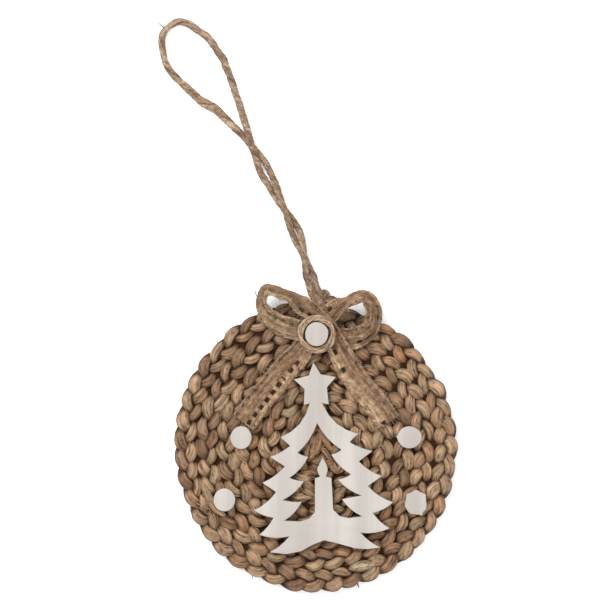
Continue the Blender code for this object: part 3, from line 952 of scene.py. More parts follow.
twineLook = {
    "roughness": 0.85,
    "specular": 0.12,
    "across": 2.3,
    "along": 170.0,
    "tones": (
        (0.0, srgb(127, 101, 81)),
        (0.4, srgb(155, 130, 107)),
        (0.7, srgb(178, 154, 130)),
        (1.0, srgb(160, 129, 106)),
    ),
    "streaks": (0.46, 1.46),
    "fineShare": 0.75,
    "fineTone": srgb(96, 70, 50),
    "darkLineAndShadeShare": 0.8,
    "darkLineAndShadeTone": srgb(62, 42, 28),
    "mottle": (2.4 * mm, 0.74, 1.16),
    "bump": 0.9,
}
twineMaterial = fibreMaterial("juteTwine", twineLook)
twineFuzz = {"Density": 260000.0, "Length": 1.5 * mm, "Radius": 0.065 * mm, "Lean": 1.35, "Seed": 2}

twineShape = {
    "Sides": 16,
    "Ridge Depth": 0.6 * mm,
    "Ridge Count": 2.4,
    "Ridge Length": 6 * mm,
    "Crease Depth": 0.2 * mm,
    "Crease Width": 0.055,
    "Wrinkle Depth": 0.34 * mm,
    "Wrinkle Size": 1.0 * mm,
}


def plies(points, radius, pitch, seed, swell=1.0, start=0.0, closed=False):
    # Two plies, each wider across the twine than along the line between them, so that both fill a round
    side, lift = framed(points, closed=closed)
    run = runOf(points)
    turns = np.diff(run) * math.tau / np.broadcast_to(pitch, len(points))[1:]
    turned = np.concatenate([[0], np.cumsum(turns)])
    if closed:
        whole = run[-1] + np.linalg.norm(points[0] - points[-1])
        turned = run / whole * math.tau * round(whole / np.mean(pitch))
    swell = np.broadcast_to(swell, len(points))
    height, length = twine["plump"]
    middleTone, toneHeight, toneLength = twine["tone"]
    strands = []
    for k in range(2):
        angle = turned + start + k * math.pi
        away = side * np.cos(angle)[:, None] + lift * np.sin(angle)[:, None]
        centre = points + away * (radius * twine["offset"] * swell)[:, None]
        full = radius * swell * (1 + height * slowWave(run, length, seed * 10 + k))
        tone = middleTone + toneHeight * slowWave(run, toneLength, seed * 10 + 5 + k)
        strands.append(strandAlong(centre, full * twine["plyWidth"], full * twine["plyDepth"],
                                   run + twine["runStep"] * k + seed, tone, angle, closed=closed))
    return strands


def hangerCentre():
    top = discTop + plait["clearance"] + 2 * twine["knotReach"]
    rows = [
        (twine["knotAcross"] + x * mm, top + y * mm, twine["rest"] + h * (twine["over"] - twine["rest"]))
        for x, y, h in hangerRoute
    ]
    return smoothRoute(rows, twine["step"])


def makeHanger():
    points = hangerCentre()
    share = runOf(points) / runOf(points)[-1]
    keys = np.array(twineTwist)
    pitch = np.interp(share, keys[:, 0], keys[:, 1]) * mm
    swell = np.interp(share, keys[:, 0], keys[:, 2])
    raised = points.copy()
    raised[:, 2] += np.maximum(swell - 1, 0) * twine["diameter"] / 2
    strands = plies(raised, twine["diameter"] / 2, pitch, twine["seed"], swell)
    piece = sweep("hangerTwine", strands, twineShape, twineMaterial)
    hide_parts("hanger_loop")
    fuzz = strayFibres("twineFuzz", (piece,), twineFuzz, twineMaterial)
    end = threadStrand(np.array(strayTwine) * mm, twine["endRadius"], 0.0, 1)
    loose = sweep("twineEnd", [end], thinShape(twineShape, 6, 0.05 * mm, 0.05 * mm), twineMaterial)


# The knot where both legs meet: they run on under the bow, with one wrap and a round bump beside them
hangerKnot = {
    "legs": (  # across and up from its middle, height
        ((-2.8, 4.0, 0.0), (-2.2, 2.0, 0.1), (-1.5, 0.0, 0.3),
         (-1.0, -2.0, 0.7), (-0.3, -4.0, 1.9), (0.2, -5.6, 2.6)),
        ((-1.5, 3.0, 0.4), (-0.8, 1.6, 0.7), (-0.2, 0.0, 0.9),
         (0.2, -2.0, 1.2), (0.8, -4.0, 2.0), (1.0, -5.6, 2.6)),
        ((-0.4, 4.0, 0.2), (0.3, 2.0, 0.1), (1.2, 0.0, 0.2),
         (1.9, -2.0, 0.6), (2.2, -4.0, 1.9), (1.9, -5.6, 2.6)),
    ),
    "legRadius": 1.75 * mm,
    "legPitch": 18 * mm,
    "wraps": (  # middle across, up and high, half width, half depth, tilt and lean in degrees, radius
        (0.5, -3.4, 0.4, 3.2, 2.3, 8, 6, 1.0),
        (3.0, 0.8, 0.2, 1.2, 1.3, 20, 70, 1.3),
    ),
    "wrapPitch": 9 * mm,
    "wrapWave": 0.35,
    "wrapRest": 1.1,
    "wrapSeed": 30,
    "legTurn": 0.8,
    "legSeed": 40,
    "points": 40,
}


def turnedLoop(loop, tilt, lean):
    a, b = math.radians(tilt), math.radians(lean)
    loop = loop @ np.array([[math.cos(a), math.sin(a), 0], [-math.sin(a), math.cos(a), 0], [0, 0, 1]])
    return loop @ np.array([[1, 0, 0], [0, math.cos(b), math.sin(b)], [0, -math.sin(b), math.cos(b)]])


def makeKnot():
    up = discTop + plait["clearance"] + twine["knotReach"]
    middle = np.array([twine["knotAcross"], up, twine["knotHeight"]])
    turn = np.linspace(0, math.tau, hangerKnot["points"], endpoint=False)
    strands = []
    for k, (x, y, z, wide, deep, tilt, lean, radius) in enumerate(hangerKnot["wraps"]):
        loop = [wide * np.cos(turn), hangerKnot["wrapWave"] * np.sin(2 * turn), deep * np.sin(turn)]
        loop = turnedLoop(np.column_stack(loop) * mm, tilt, lean)
        loop += middle + np.array([x, y, z]) * mm
        loop[:, 2] = np.maximum(loop[:, 2], radius * mm * hangerKnot["wrapRest"])
        strands += plies(loop, radius * mm, hangerKnot["wrapPitch"], hangerKnot["wrapSeed"] + k, closed=True)
    for k, rows in enumerate(hangerKnot["legs"]):
        route = smoothRoute(np.array(rows) * mm + middle, twine["step"])
        strands += plies(route, hangerKnot["legRadius"], hangerKnot["legPitch"], hangerKnot["legSeed"] + k,
                         start=hangerKnot["legTurn"] * k)
    piece = sweep("hangerKnot", strands, twineShape, twineMaterial)
    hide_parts("hanger_knot")


# Two turns of thinner twine round the dot on the bow, one crossing the other at two places
ring = {
    "centre": (0.5 * mm, discTop - 13.0 * mm),
    "seat": 11.9 * mm,
    "reach": 6.95 * mm,
    "apart": 0.62 * mm,
    "crossing": math.radians(19),
    "height": 0.95 * mm,
    "over": 0.4 * mm,
    "radius": 0.74 * mm,
    "pitch": 14 * mm,
    "points": 90,
    "wobble": 0.14 * mm,
    "rise": 0.1 * mm,
    "steep": 1.5,
    "toneShare": (0.6, 0.2),
    "seed": 50,
    "tones": (
        (0.0, srgb(136, 108, 84)),
        (0.4, srgb(164, 136, 110)),
        (0.7, srgb(185, 158, 131)),
        (1.0, srgb(169, 136, 110)),
    ),
}


def makeRing():
    x, y = ring["centre"]
    turn = np.linspace(0, math.tau, ring["points"], endpoint=False)
    swing = np.clip(ring["steep"] * np.sin(turn - ring["crossing"]), -1, 1)
    strands = []
    for k, way in enumerate((1, -1)):
        reach = ring["reach"] + way * ring["apart"] * swing + ring["wobble"] * np.sin(3 * turn + 2 * k)
        lift = ring["height"] + way * ring["over"] * (1 - np.abs(swing))
        lift = lift + ring["rise"] * np.sin(4 * turn + k)
        loop = np.column_stack([x + reach * np.cos(turn), y + reach * np.sin(turn), ring["seat"] + lift])
        strands += plies(loop, ring["radius"], ring["pitch"], ring["seed"] + k, closed=True)
    least, more = ring["toneShare"]
    for strand in strands:
        strand["tone"] = least + more * strand["tone"]
    look = fibreMaterial("paleTwine", {**twineLook, "tones": ring["tones"]})
    piece = sweep("bowRing", strands, twineShape, look)
    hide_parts("twine_ring")


makeHanger()
makeKnot()
makeRing()
print("twine laid")


# Leaf strips inside the plait and between its rows, coloured near black as painted shade in the gaps
filler = {
    "halfWidth": 2.2 * mm,
    "halfHeight": 0.8 * mm,
    "wave": (0.12, 20 * mm, 61),  # height, length and seed
    "step": 1.4 * mm,
    "routePoints": 4000,
    "start": 0.1,
    "inset": 3.4 * mm,
    "places": (0.0, 0.5),
    "tone": 0.1,
    "look": {
        "roughness": 0.95,
        "specular": 0.03,
        # Painted shade: a near-black colour for the gaps between the rows
        "tones": ((0.0, srgb(38, 27, 18)), (1.0, srgb(54, 40, 28))),
    },
    "shape": {"Sides": 12, "Ridge Depth": 0.3 * mm},
}


def makeFiller():
    height, length, seed = filler["wave"]
    rim = float(rowEdge(plait["rowCount"] - 1.0)) - filler["inset"]
    turn = np.linspace(filler["start"], plait["rowCount"] - 1, filler["routePoints"])
    angle = plait["jogAngle"] - turn * math.tau
    strands = []
    for k, place in enumerate(filler["places"]):
        reach = rowEdge(turn) + plait["clearance"] / 2 + place * plait["rowPitch"]
        reach = np.minimum(reach, rim) * outOfRound(angle)
        route = [reach * np.cos(angle), reach * np.sin(angle), turn * 0 + plait["middle"]]
        points = evenly(np.column_stack(route), filler["step"])
        run = runOf(points)
        wide = filler["halfWidth"] * (1 + height * slowWave(run, length, seed + k))
        strands.append(strandAlong(points, wide, filler["halfHeight"], run, filler["tone"]))
    look = fibreMaterial("innerLeafPaintedShade", {**leafLook, **filler["look"]})
    sweep("rowFiller", strands, {**strandShape, **filler["shape"]}, look)


makeFiller()


# Leaves that lie their own way: crumpled ones at the eye, a strip beside a dot, a pale one near the rim
looseLeaves = (  # points across, up and high in mm, half width, half height, tone
    (((0.6, 5.8, 5.2), (-0.0, 2.0, 5.6), (-0.9, -1.9, 5.5), (-2.0, -6.2, 4.6)), 1.7, 0.9, 0.96),
    (((1.5, 6.0, 4.9), (1.9, 2.8, 5.8), (0.6, -1.0, 5.9), (0.2, -4.5, 4.6)), 1.3, 0.8, 0.93),
    (((2.3, 5.0, 5.0), (4.5, 2.8, 5.5), (6.6, -0.2, 5.4), (8.7, -1.9, 4.6)), 1.6, 0.9, 0.95),
    (((1.0, -0.6, 5.2), (3.4, -1.0, 6.0), (5.3, -3.6, 5.8), (7.5, -6.6, 4.8)), 1.3, 0.8, 0.9),
    (((2.3, 0.3, 5.3), (0.2, -1.9, 5.9), (-2.0, -4.0, 5.6), (-3.5, -6.2, 4.8)), 1.1, 0.8, 0.86),
    (((-2.0, 2.8, 4.8), (-3.3, -0.2, 5.1), (-4.1, -3.2, 5.0), (-5.4, -5.3, 4.4)), 1.4, 0.8, 0.6),
    (((-7.1, -10.9, 5.0), (-4.5, -11.1, 5.6), (-2.0, -10.8, 5.6), (1.0, -10.2, 4.9)), 1.5, 0.9, 0.96),
    (((-5.4, -13.9, 5.0), (-4.1, -15.6, 5.5), (-2.0, -17.3, 5.4), (0.6, -18.2, 4.8)), 2.2, 0.9, 0.88),
    (((-7.5, -22.0, 4.9), (-5.0, -21.4, 5.5), (-2.4, -21.2, 5.4), (0.2, -21.8, 4.8)), 1.2, 0.8, 0.45),
    (((6.6, -21.2, 4.8), (8.7, -19.7, 5.5), (11.3, -18.0, 5.4), (13.9, -15.6, 4.8)), 1.9, 0.9, 0.62),
    (((4.5, -5.7, 4.8), (6.6, -7.2, 5.5), (7.9, -9.0, 5.4), (9.6, -11.3, 4.8)), 1.8, 0.9, 0.3),
    (((-48.5, -13.9, 5.2), (-47.2, -18.2, 6.2), (-45.3, -22.5, 6.3), (-42.3, -26.5, 6.3),
      (-38.4, -29.5, 5.6)), 2.0, 0.6, 0.5),
    (((14.3, -52.0, 5.2), (16.9, -51.2, 6.0), (20.3, -50.5, 6.2), (23.7, -50.1, 6.0),
      (26.3, -49.5, 5.2)), 2.4, 0.9, 1.0),
    (((2.7, 62.0, 3.6), (4.9, 63.0, 4.2), (7.5, 63.3, 4.2), (9.6, 61.8, 3.6)), 1.7, 1.7, 0.02),
)

strayEnds = (  # points across, up and high in mm, radius
    (((-50.8, -23.7, 6.0), (-48.7, -25.0, 6.6), (-47.0, -25.7, 6.8), (-45.4, -26.3, 6.9),
      (-45.5, -28.0, 6.9), (-47.0, -28.2, 6.9), (-47.6, -27.2, 6.9), (-46.8, -26.1, 7.0)), 0.28),
    (((-51.3, -25.5, 6.0), (-49.5, -25.9, 6.6), (-47.8, -26.7, 6.7), (-45.7, -28.9, 6.2)), 0.24),
    (((-50.0, -22.5, 6.0), (-48.7, -24.2, 6.6), (-46.5, -25.0, 6.7), (-44.8, -24.6, 6.4)), 0.2),
    (((-26.8, -53.3, 4.2), (-27.0, -55.0, 4.0), (-27.3, -56.7, 3.6)), 0.3),
    (((17.3, -56.7, 4.2), (18.0, -58.5, 3.8), (18.6, -60.2, 3.2)), 0.55),
    (((-41.4, 44.0, 4.2), (-42.3, 45.5, 4.2), (-42.0, 47.0, 4.0)), 0.3),
    (((-46.5, 19.5, 6.4), (-47.6, 19.2, 6.9), (-49.1, 19.8, 6.9)), 0.16),
    (((24.2, -44.7, 6.2), (25.0, -46.0, 6.8), (25.2, -48.2, 6.6)), 0.2),
    (((21.6, -44.7, 6.2), (22.7, -43.5, 6.8), (24.2, -42.6, 6.6)), 0.2),
)


looseLeaf = {
    "taper": (0.12, 0.6),  # least width, and how blunt the ends are
    "ridgeShare": 0.25,
    "runStep": 0.7,
    "shape": {"Sides": 28, "Crease Depth": 0.4 * mm},
    "strayStep": 0.4 * mm,
    "strayThinning": 0.7,
    "strayTone": 0.5,
}


def makeLooseLeaves():
    strands = []
    least, blunt = looseLeaf["taper"]
    for k, (rows, wide, high, tone) in enumerate(looseLeaves):
        points = smoothRoute(np.array(rows) * mm, plait["step"])
        taper = eased(least, np.sin(np.linspace(0, math.pi, len(points))) ** blunt)
        place = runOf(points) + looseLeaf["runStep"] * k
        strands.append(strandAlong(points, wide * mm * taper, high * mm * taper, place, tone,
                                   ridgeShare=eased(looseLeaf["ridgeShare"], taper)))
    look = bpy.data.materials["dryLeaf"]
    sweep("looseLeaves", strands, {**strandShape, **looseLeaf["shape"]}, look)
    strands = [
        taperedStrand(smoothRoute(np.array(rows) * mm, looseLeaf["strayStep"]), radius * mm,
                      looseLeaf["strayThinning"], looseLeaf["strayTone"], k)
        for k, (rows, radius) in enumerate(strayEnds)
    ]
    sweep("strayLeafEnds", strands, thinShape(strandShape, 6, 0.05 * mm, 0.05 * mm), look)


makeLooseLeaves()


# Ribbon bow: one loosely woven ribbon, with a ladder of holes beside its right-hand edge
ribbon = {
    "thickness": 0.5 * mm,
    "frameThickness": 0.9 * mm,
    "width": 11.0 * mm,
    "gathered": 7.4 * mm,
    "layer": 1.5 * mm,
    "seat": 6.9 * mm,
    "knot": ring["centre"],
    "holePitch": 4.1 * mm,
    "cellsPerHole": 12,
    "ribs": 8,
    "rumple": 0.6 * mm,
    "groove": 1.0 * mm,
    "tails": (4, 38),
    "paintedLightRows": (22, 26),  # painted light on the lower band of the left loop, by the route's points
    "openShare": (  # along by share, and how many of the holes are open
        (0.0, 0.095, 0.11, 0.13, 0.15, 0.85, 0.88, 1.0),
        (1.0, 1.0, 0.4, 0.4, 0.6, 0.6, 0.3, 0.4),
    ),
    "edges": ((0.04, 0.42 * mm, 60), (0.93, 0.66 * mm, 62)),  # share of the width, radius, seed
    "edgeStep": 0.5 * mm,
    "edgePitch": 4.5 * mm,
    "edgeTones": (0.1, 0.3),
    "holeSeed": 5,
    "closedHole": 0.1,
    "streaksAcross": 5,
    "underside": 0.7,
    "flat": (0.011, 0.3),
}

ribbonFuzz = {"Density": 320000.0, "Length": 2.2 * mm, "Radius": 0.085 * mm, "Lean": 1.35, "Seed": 4}

# Cross threads left loose: stretch by share of the length, edge, how far out and how far apart in mm
looseThreads = (
    (0.087, 0.15, 1, 1.5, 1.05),
    (0.075, 0.14, -1, 0.9, 1.2),
    (0.86, 0.985, -1, 0.7, 2.1),
    (0.86, 0.95, 1, 0.6, 2.6),
)
sideThreads = {
    "places": {1: 0.86, -1: 0.08},  # where across the ribbon they start
    "lift": 0.3 * mm,
    "least": 1.1,
    "reach": (0.5, 1.3),
    "lean": (-0.5, 0.5),
    "spacing": (0.7, 1.3),
    "look": (0.8, 1.3, 0.55),  # thinnest and thickest, and darkest tone
}
endThreads = {
    "count": 15,
    "length": 3.4 * mm,
    "leftLength": 1.1 * mm,
    "radius": 0.16 * mm,
    "seed": 8,
    "place": (0.1, 0.9),
    "aslant": (-0.4, 0.4),
    "reach": (0.35, 1.2),
    "inside": 0.6 * mm,
    "spread": 0.7,
    "look": (0.7, 1.2, 0.3),
    "tip": 0.28 * mm,
}

# Across and up from the knot, and high, in mm
loopTip = ((-24.9, 15.2, 9.6), (-26.0, 16.8, 9.8), (-26.4, 18.8, 9.9))

# Across, up, roll in degrees (right-hand edge up), layer at the knot, width share, curl in degrees
ribbonRoute = (
    (-31.5, -37.8, 0, 0, 1.0, 8), (-26.4, -31.0, 0, 0, 1.0, 10), (-20.8, -24.1, 0, 0, 1.0, 10),
    (-14.2, -15.8, 2, 0, 1.0, 12), (-7.8, -8.6, 0, 0, 0.8, 8), (-3.7, -3.4, 0, 0, 0.1, 0),
    (1.2, -1.0, 0, 0, 0.0, 0), (6.3, -0.9, 0, 0, 0.1, 0), (11.6, -1.9, -10, 0, 0.5, 0),
    (16.6, -1.9, -28, 0, 0.9, 12), (21.2, -0.1, -44, 0, 1.0, 20), (24.2, 3.3, -50, 0, 1.0, 24),
    (25.0, 7.7, -52, 0, 1.0, 24), (24.4, 12.2, -54, 0, 1.0, 24), (22.4, 15.6, -60, 0, 1.0, 24),
    (19.2, 16.8, -64, 0, 1.0, 24), (15.6, 15.8, -66, 0, 1.0, 20), (12.2, 13.6, -66, 0.1, 0.9, 12),
    (8.8, 11.4, -32, 0.3, 0.4, 0), (4.2, 7.2, 0, 1, 0.1, 0), (0.2, 4.2, 0, 1, 0.0, 0),
    (-4.4, 2.2, 4, 1, 0.1, 0), (-9.0, 1.9, 22, 0.8, 0.6, 0), (-13.0, 2.9, 32, 0.3, 0.9, 12),
    (-16.7, 4.2, 38, 0, 1.0, 18), (-20.3, 6.2, 46, 0, 1.0, 22), (-23.1, 9.5, 58, 0, 1.0, 24),
    (-24.5, 13.5, 69, 0, 1.0, 24), (-24.0, 17.2, 70, 0, 1.0, 24), (-21.8, 19.8, 70, 0, 1.0, 24),
    (-18.2, 19.4, 66, 0, 1.0, 24), (-14.4, 18.0, 66, 0.2, 1.0, 22), (-10.4, 15.9, 64, 0.8, 0.7, 8),
    (-6.2, 12.2, 24, 1.5, 0.3, 0), (-1.6, 9.2, 2, 2, 0.1, 0), (2.4, 5.6, 0, 2, 0.0, 0),
    (5.8, 1.0, 0, 2, 0.0, 0), (8.6, -4.8, 0, 1.6, 0.5, 4), (11.8, -11.4, 4, 0.9, 0.9, 16),
    (15.6, -17.8, 8, 0.4, 1.0, 26), (20.8, -24.2, 10, 0.2, 1.0, 30), (25.6, -29.6, 10, 0.1, 1.0, 30),
    (30.6, -37.6, 8, 0.1, 1.0, 24),
)

# Zones across the ribbon from the plain edge to the selvedge: where each ends and how many cells wide it is
weaveZones = (
    ("cord", 0.08, 3),
    ("smallHoles", 0.17, 3),
    ("band", 0.59, 20),
    ("ladder", 0.81, 10),
    ("selvedge", 1.0, 6),
)

# Uneven cloth: size along and across, and seed
rumples = {
    "fold": (5 * mm, 2.4 * mm, 3.1),
    "crumple": (2.2 * mm, 1.0 * mm, 7.7),
    "pleat": (6 * mm, 1 * mm, 1.3),
    "thick": (2.5 * mm, 0.8 * mm, 5.5),
    "tone": (9 * mm, 2 * mm, 9.9),
    "dark": (7 * mm, 0.9 * mm, 12.2),
    "sway": (7 * mm, 6 * mm, 20.5),
    "fineSway": (2.4 * mm, 2 * mm, 24.5),
}

weave = {
    "fold": (1.3, 0.6),  # in the loops, and how much less in the tails
    "crumple": 0.45,
    "pleat": (0.5 * mm, 3.2, 2),  # height, count and sway
    "sway": (0.35 * mm, 0.16 * mm),
    "thick": 0.5,
    "thinnest": 0.25 * mm,
    "tone": (0.45, 0.5),
    "dark": (2.2, 0.3, 0.55),  # how strong, from where, and the most
    "paintedLight": (0.2, 0.34),  # painted light: how much less dark and how much lighter that band is
    "holeAt": 0.4,
    "cordThick": 0.2 * mm,
    "smallHole": (0.2, 9, 0.3 * mm),  # half its length, sharpness and depth
    "smallHoleShade": (0.3, 0.6),
    "ribThick": (0.16, 0.26),
    "ribGrooveShade": 0.45,
    "ribTone": (0.12, 1.7, 0.6),
    "ladderHole": (0.31, 14),
    "ladderRound": 1.9,
    "ladderLoops": (0.5, 0.6),  # how deep it is, and how dark its painted shade, in the loops where the holes close up
    "ladderDark": 0.4,
    "selvedgeThick": 0.3 * mm,
    "zoneTone": {"cord": 0.15, "ladder": 0.3, "selvedge": 0.38},
}

juteLook = {
    "roughness": 0.9,
    "specular": 0.1,
    "across": 2.6,
    "along": 230.0,
    "tones": (
        (0.0, srgb(132, 101, 77)),
        (0.4, srgb(159, 127, 100)),
        (0.7, srgb(180, 148, 118)),
        (1.0, srgb(195, 166, 132)),
    ),
    "streaks": (0.5, 1.45),
    "fineShare": 0.6,
    "fineTone": srgb(92, 66, 46),
    "darkLineAndShadeShare": 0.95,
    "darkLineAndShadeTone": srgb(46, 30, 18),
    "mottle": (2.1 * mm, 0.66, 1.22),
    "bump": 1.0,
}


def ribbonPath():
    rows = []
    for i, (x, y, roll, layer, share, curl) in enumerate(ribbonRoute):
        width = ribbon["gathered"] + (ribbon["width"] - ribbon["gathered"]) * share
        rise = width / 2 * abs(math.sin(math.radians(roll)))
        drop = width / 2 * math.tan(math.radians(curl) / 2)
        low = ribbon["seat"] + ribbon["frameThickness"] / 2 + layer * ribbon["layer"]
        tail = i <= ribbon["tails"][0] or i >= ribbon["tails"][1]
        paintedLight = ribbon["paintedLightRows"][0] <= i <= ribbon["paintedLightRows"][1]
        place = (ribbon["knot"][0] + x * mm, ribbon["knot"][1] + y * mm, low + rise + drop)
        rows.append((*place, roll, width, curl, share, tail, paintedLight))
    return smoothRoute(rows, ribbon["holePitch"] / ribbon["cellsPerHole"])


def ribbonFrames(path):
    flat = path[:, :3].copy()
    flat[:, 2] = 0
    along = unit(np.gradient(flat, axis=0))
    right = np.column_stack([along[:, 1], -along[:, 0], along[:, 0] * 0])
    tilt = np.radians(path[:, 3])[:, None]
    up = np.array([[0, 0, 1.0]])
    return right * np.cos(tilt) + up * np.sin(tilt), up * np.cos(tilt) - right * np.sin(tilt)


def ribbonPoint(path, frames, share, off):
    # share runs from 0 at the plain edge to 1 at the selvedge, off stands proud of the cloth
    across, face = frames
    half = path[:, 4] / 2
    u = (2 * share - 1) * half
    drop = half * np.tan(np.radians(path[:, 5]) / 2) * (2 * share - 1) ** 2
    return path[:, :3] + across * u[:, None] + face * (off - drop)[:, None]


def rumple(along, across, kind):
    alongSize, acrossSize, seed = rumples[kind]
    return np.array([noise.noise((a / alongSize, across / acrossSize, seed)) for a in along])


def ribbonRelief(path, along, share, pits):
    # How far the middle of the cloth stands off its smooth curve, how thick it is, how dark (its own
    # streaks, and painted shade in grooves and holes) and which tone
    loose, tail, paintedLight = (np.clip(path[:, k], 0, 1) for k in (6, 7, 8))
    across = share * ribbon["width"]
    fold, less = weave["fold"]
    pleat, pleats, sway = weave["pleat"]
    stand = ribbon["rumple"] * rumple(along, across, "fold") * (fold - less * tail)
    stand += weave["crumple"] * ribbon["rumple"] * rumple(along, across, "crumple")
    stand += pleat * (1 - loose) * np.sin(math.tau * pleats * share + sway * rumple(along, 0, "pleat"))
    thick = ribbon["thickness"] * (1 + weave["thick"] * rumple(along, across, "thick"))
    middle, height = weave["tone"]
    tone = middle + height * rumple(along, across, "tone")
    strong, start, most = weave["dark"]
    dark = np.clip(strong * np.abs(rumple(along, across, "dark")) - start, 0, most)
    (_, cord, _), (_, bandStart, _), (_, bandEnd, _), (_, ladderEnd, _), _ = weaveZones
    cell = np.abs(along / ribbon["holePitch"] % 1 - weave["holeAt"])
    if share < cord:
        thick = thick + weave["cordThick"]
        tone = tone + weave["zoneTone"]["cord"]
    elif share < bandStart:
        half, sharp, deep = weave["smallHole"]
        least, more = weave["smallHoleShade"]
        hole = np.clip((half - cell) * sharp, 0, 1) * pits
        stand = stand - deep * hole
        # Painted shade: a small hole is a sunk pit, darkened as if in shadow
        dark = np.maximum(dark, least + more * hole)
    elif share <= bandEnd:
        rib = (share - bandStart) / (bandEnd - bandStart) * ribbon["ribs"]
        groove = 0.5 + 0.5 * math.cos(rib * math.tau)
        high, low = weave["ribThick"]
        thick = thick + (high - low * groove) * mm
        # Painted shade in the grooves between the ribs
        dark = np.maximum(dark, weave["ribGrooveShade"] * groove)
        height, step, start = weave["ribTone"]
        tone = tone + height * math.sin(step * math.floor(rib) + start)
    elif share < ladderEnd:
        half, sharp = weave["ladderHole"]
        deepLoop, loopGrooveShade = weave["ladderLoops"]
        place = (share - bandEnd) / (ladderEnd - bandEnd)
        middle = min(1.0, weave["ladderRound"] * math.sin(place * math.pi))
        hole = np.clip((half - cell) * sharp, 0, 1) * pits
        stand = stand - ribbon["groove"] * middle * np.maximum(hole, deepLoop * (1 - tail))
        # Painted shade: a ladder hole is a sunk pit darkened as if in shadow, and in the loops the whole
        # groove is
        dark = np.maximum(dark * weave["ladderDark"], middle * np.maximum(hole, loopGrooveShade * (1 - tail)))
        tone = tone + weave["zoneTone"]["ladder"]
    else:
        place = (share - ladderEnd) / (1 - ladderEnd)
        thick = thick + weave["selvedgeThick"] * math.sin(place * math.pi)
        tone = tone + weave["zoneTone"]["selvedge"]
    # Painted light on the lower band of the left loop
    lessDark, lighter = weave["paintedLight"]
    thick = np.maximum(thick, weave["thinnest"])
    return stand, thick, dark * (1 - lessDark * paintedLight), np.clip(tone + lighter * paintedLight, 0, 1)


def ribbonThreads(path, frames, along):
    shape = np.random.default_rng(endThreads["seed"])
    bend = np.linspace(0, 1, 5)[:, None]
    strands = []

    def spot(i, share, off):
        return ribbonPoint(path[i:i + 1], (frames[0][i:i + 1], frames[1][i:i + 1]), share, off)

    def addThread(points, least, most, leastTone, start):
        radius = endThreads["radius"] * shape.uniform(least, most)
        strands.append(threadStrand(points, radius, shape.uniform(leastTone, 1), start))

    lift = sideThreads["lift"]
    for start, end, way, reach, spacing in looseThreads:
        place = start * along[-1]
        while place < end * along[-1]:
            i = int(np.searchsorted(along, place))
            edge = spot(i, sideThreads["places"][way], lift)
            out = frames[0][i] * way
            ahead = unit(np.append(np.diff(path[i:i + 2, :2], axis=0)[0], 0))
            far = (sideThreads["least"] + reach * shape.uniform(*sideThreads["reach"])) * mm
            lean = shape.uniform(*sideThreads["lean"]) * mm
            points = edge + out * far * bend + ahead * lean * bend ** 2 - frames[1][i] * lift * bend ** 2
            addThread(points, *sideThreads["look"], place)
            place += spacing * mm * shape.uniform(*sideThreads["spacing"])
    for i, way, length in ((len(path) - 1, 1, endThreads["length"]), (0, -1, endThreads["leftLength"])):
        ahead = unit(path[i, :3] - path[i - way * 2, :3])
        for k in range(endThreads["count"]):
            share = (k + shape.uniform(*endThreads["place"])) / endThreads["count"]
            side = frames[0][i] * (share - 0.5 + shape.uniform(*endThreads["aslant"]))
            far = length * shape.uniform(*endThreads["reach"])
            points = spot(i, share, 0.0) - ahead * endThreads["inside"]
            points = points + (ahead * far + side * far * endThreads["spread"] * bend) * bend
            addThread(points, *endThreads["look"], k)
    tip = np.array(loopTip) * mm
    tip[:, :2] += np.array(ribbon["knot"])
    strands.append(threadStrand(tip, endThreads["tip"], 0.0, 3))
    return strands


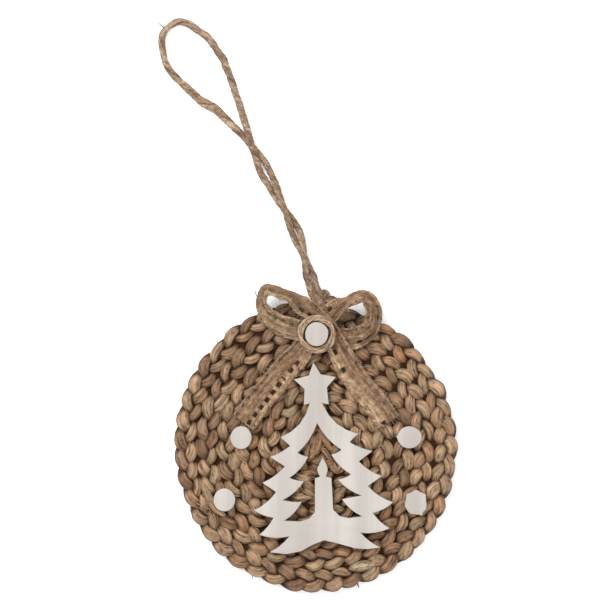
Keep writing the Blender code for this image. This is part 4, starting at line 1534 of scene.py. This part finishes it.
def makeRibbon():
    path = ribbonPath()
    frames = ribbonFrames(path)
    count = len(path)
    along = np.arange(count) * ribbon["holePitch"] / ribbon["cellsPerHole"]
    hole = np.arange(count) // ribbon["cellsPerHole"]
    likely = np.interp(along / along[-1], *ribbon["openShare"])
    drawn = np.random.default_rng(ribbon["holeSeed"]).uniform(size=hole[-1] + 1)[hole]
    pits = np.where(drawn < likely, 1.0, ribbon["closedHole"])
    shares = [0.0]
    for _, end, cells in weaveZones:
        start = shares[-1]
        shares += [start + (end - start) * (i + 1) / cells for i in range(cells)]
    columns = len(shares)
    tops, bottoms, darkLinesAndShade, tones = [], [], [], []
    for share in shares:
        stand, thick, dark, tone = ribbonRelief(path, along, share, pits)
        sway = weave["sway"][0] * rumple(along, share * ribbon["width"], "sway")
        sway += weave["sway"][1] * rumple(along, share * ribbon["width"], "fineSway")
        moved = frames[0] * sway[:, None]
        tops.append(ribbonPoint(path, frames, share, stand + thick / 2) + moved)
        bottoms.append(ribbonPoint(path, frames, share, stand - thick / 2) + moved)
        # The cloth's own dark streaks together with painted shade in its grooves and holes
        darkLinesAndShade.append(dark)
        tones.append(tone)
    points = np.vstack([np.stack(side, axis=1).reshape(-1, 3) for side in (tops, bottoms)])
    lower = count * columns
    faces = []
    for i in range(count - 1):
        for j in range(columns - 1):
            a, d = i * columns + j, (i + 1) * columns + j
            b, c = a + 1, d + 1
            faces.append((a, b, c, d))
            faces.append((d + lower, c + lower, b + lower, a + lower))
            rims = ((a, b, i == 0), (b, c, j == columns - 2), (c, d, i == count - 2), (d, a, j == 0))
            for near, far, atEdge in rims:
                if atEdge:
                    faces.append((far, near, near + lower, far + lower))
    mesh = bpy.data.meshes.new("bowRibbon")
    mesh.from_pydata(points.tolist(), [], faces)
    values = {
        "crease": np.stack(darkLinesAndShade, axis=1).ravel(),
        "tone": np.stack(tones, axis=1).ravel(),
        "run": np.repeat(along, columns),
    }
    for key, value in values.items():
        data = mesh.attributes.new(key, "FLOAT", "POINT").data
        data.foreach_set("value", np.tile(value, 2).astype(np.float32))
    around = np.zeros((len(points), 3), np.float32)
    around[:, 0] = np.tile(np.array(shares) * ribbon["streaksAcross"], 2 * count)
    around[lower:, 1] = ribbon["underside"]
    mesh.attributes.new("ring", "FLOAT_VECTOR", "POINT").data.foreach_set("vector", around.ravel())
    mesh.shade_smooth()
    look = fibreMaterial("wovenJute", juteLook)
    mesh.materials.append(look)
    outward(mesh)
    piece = addPiece("bowRibbon", mesh)
    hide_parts("bow_ribbon")

    edges = []
    for share, radius, seed in ribbon["edges"]:
        off = ribbonRelief(path, along, share, pits)[0]
        line = evenly(ribbonPoint(path, frames, share, off), ribbon["edgeStep"])
        edges += plies(line, radius, ribbon["edgePitch"], seed)
    for k, strand in enumerate(edges):
        strand["tone"] = np.clip(strand["tone"] + ribbon["edgeTones"][k // 2], 0, 1)
    shape = thinShape(twineShape, 8, 0.2 * mm, 0.15 * mm, 0.06 * mm)
    trim = sweep("ribbonEdges", edges, shape, look)
    loose = ribbonThreads(path, frames, along)
    threads = sweep("ribbonThreads", loose, thinShape(twineShape, 5, 0.08 * mm, 0.08 * mm), look)
    fuzz = strayFibres("ribbonFuzz", (piece, trim), ribbonFuzz, look)


makeRibbon()
print("bow tied")
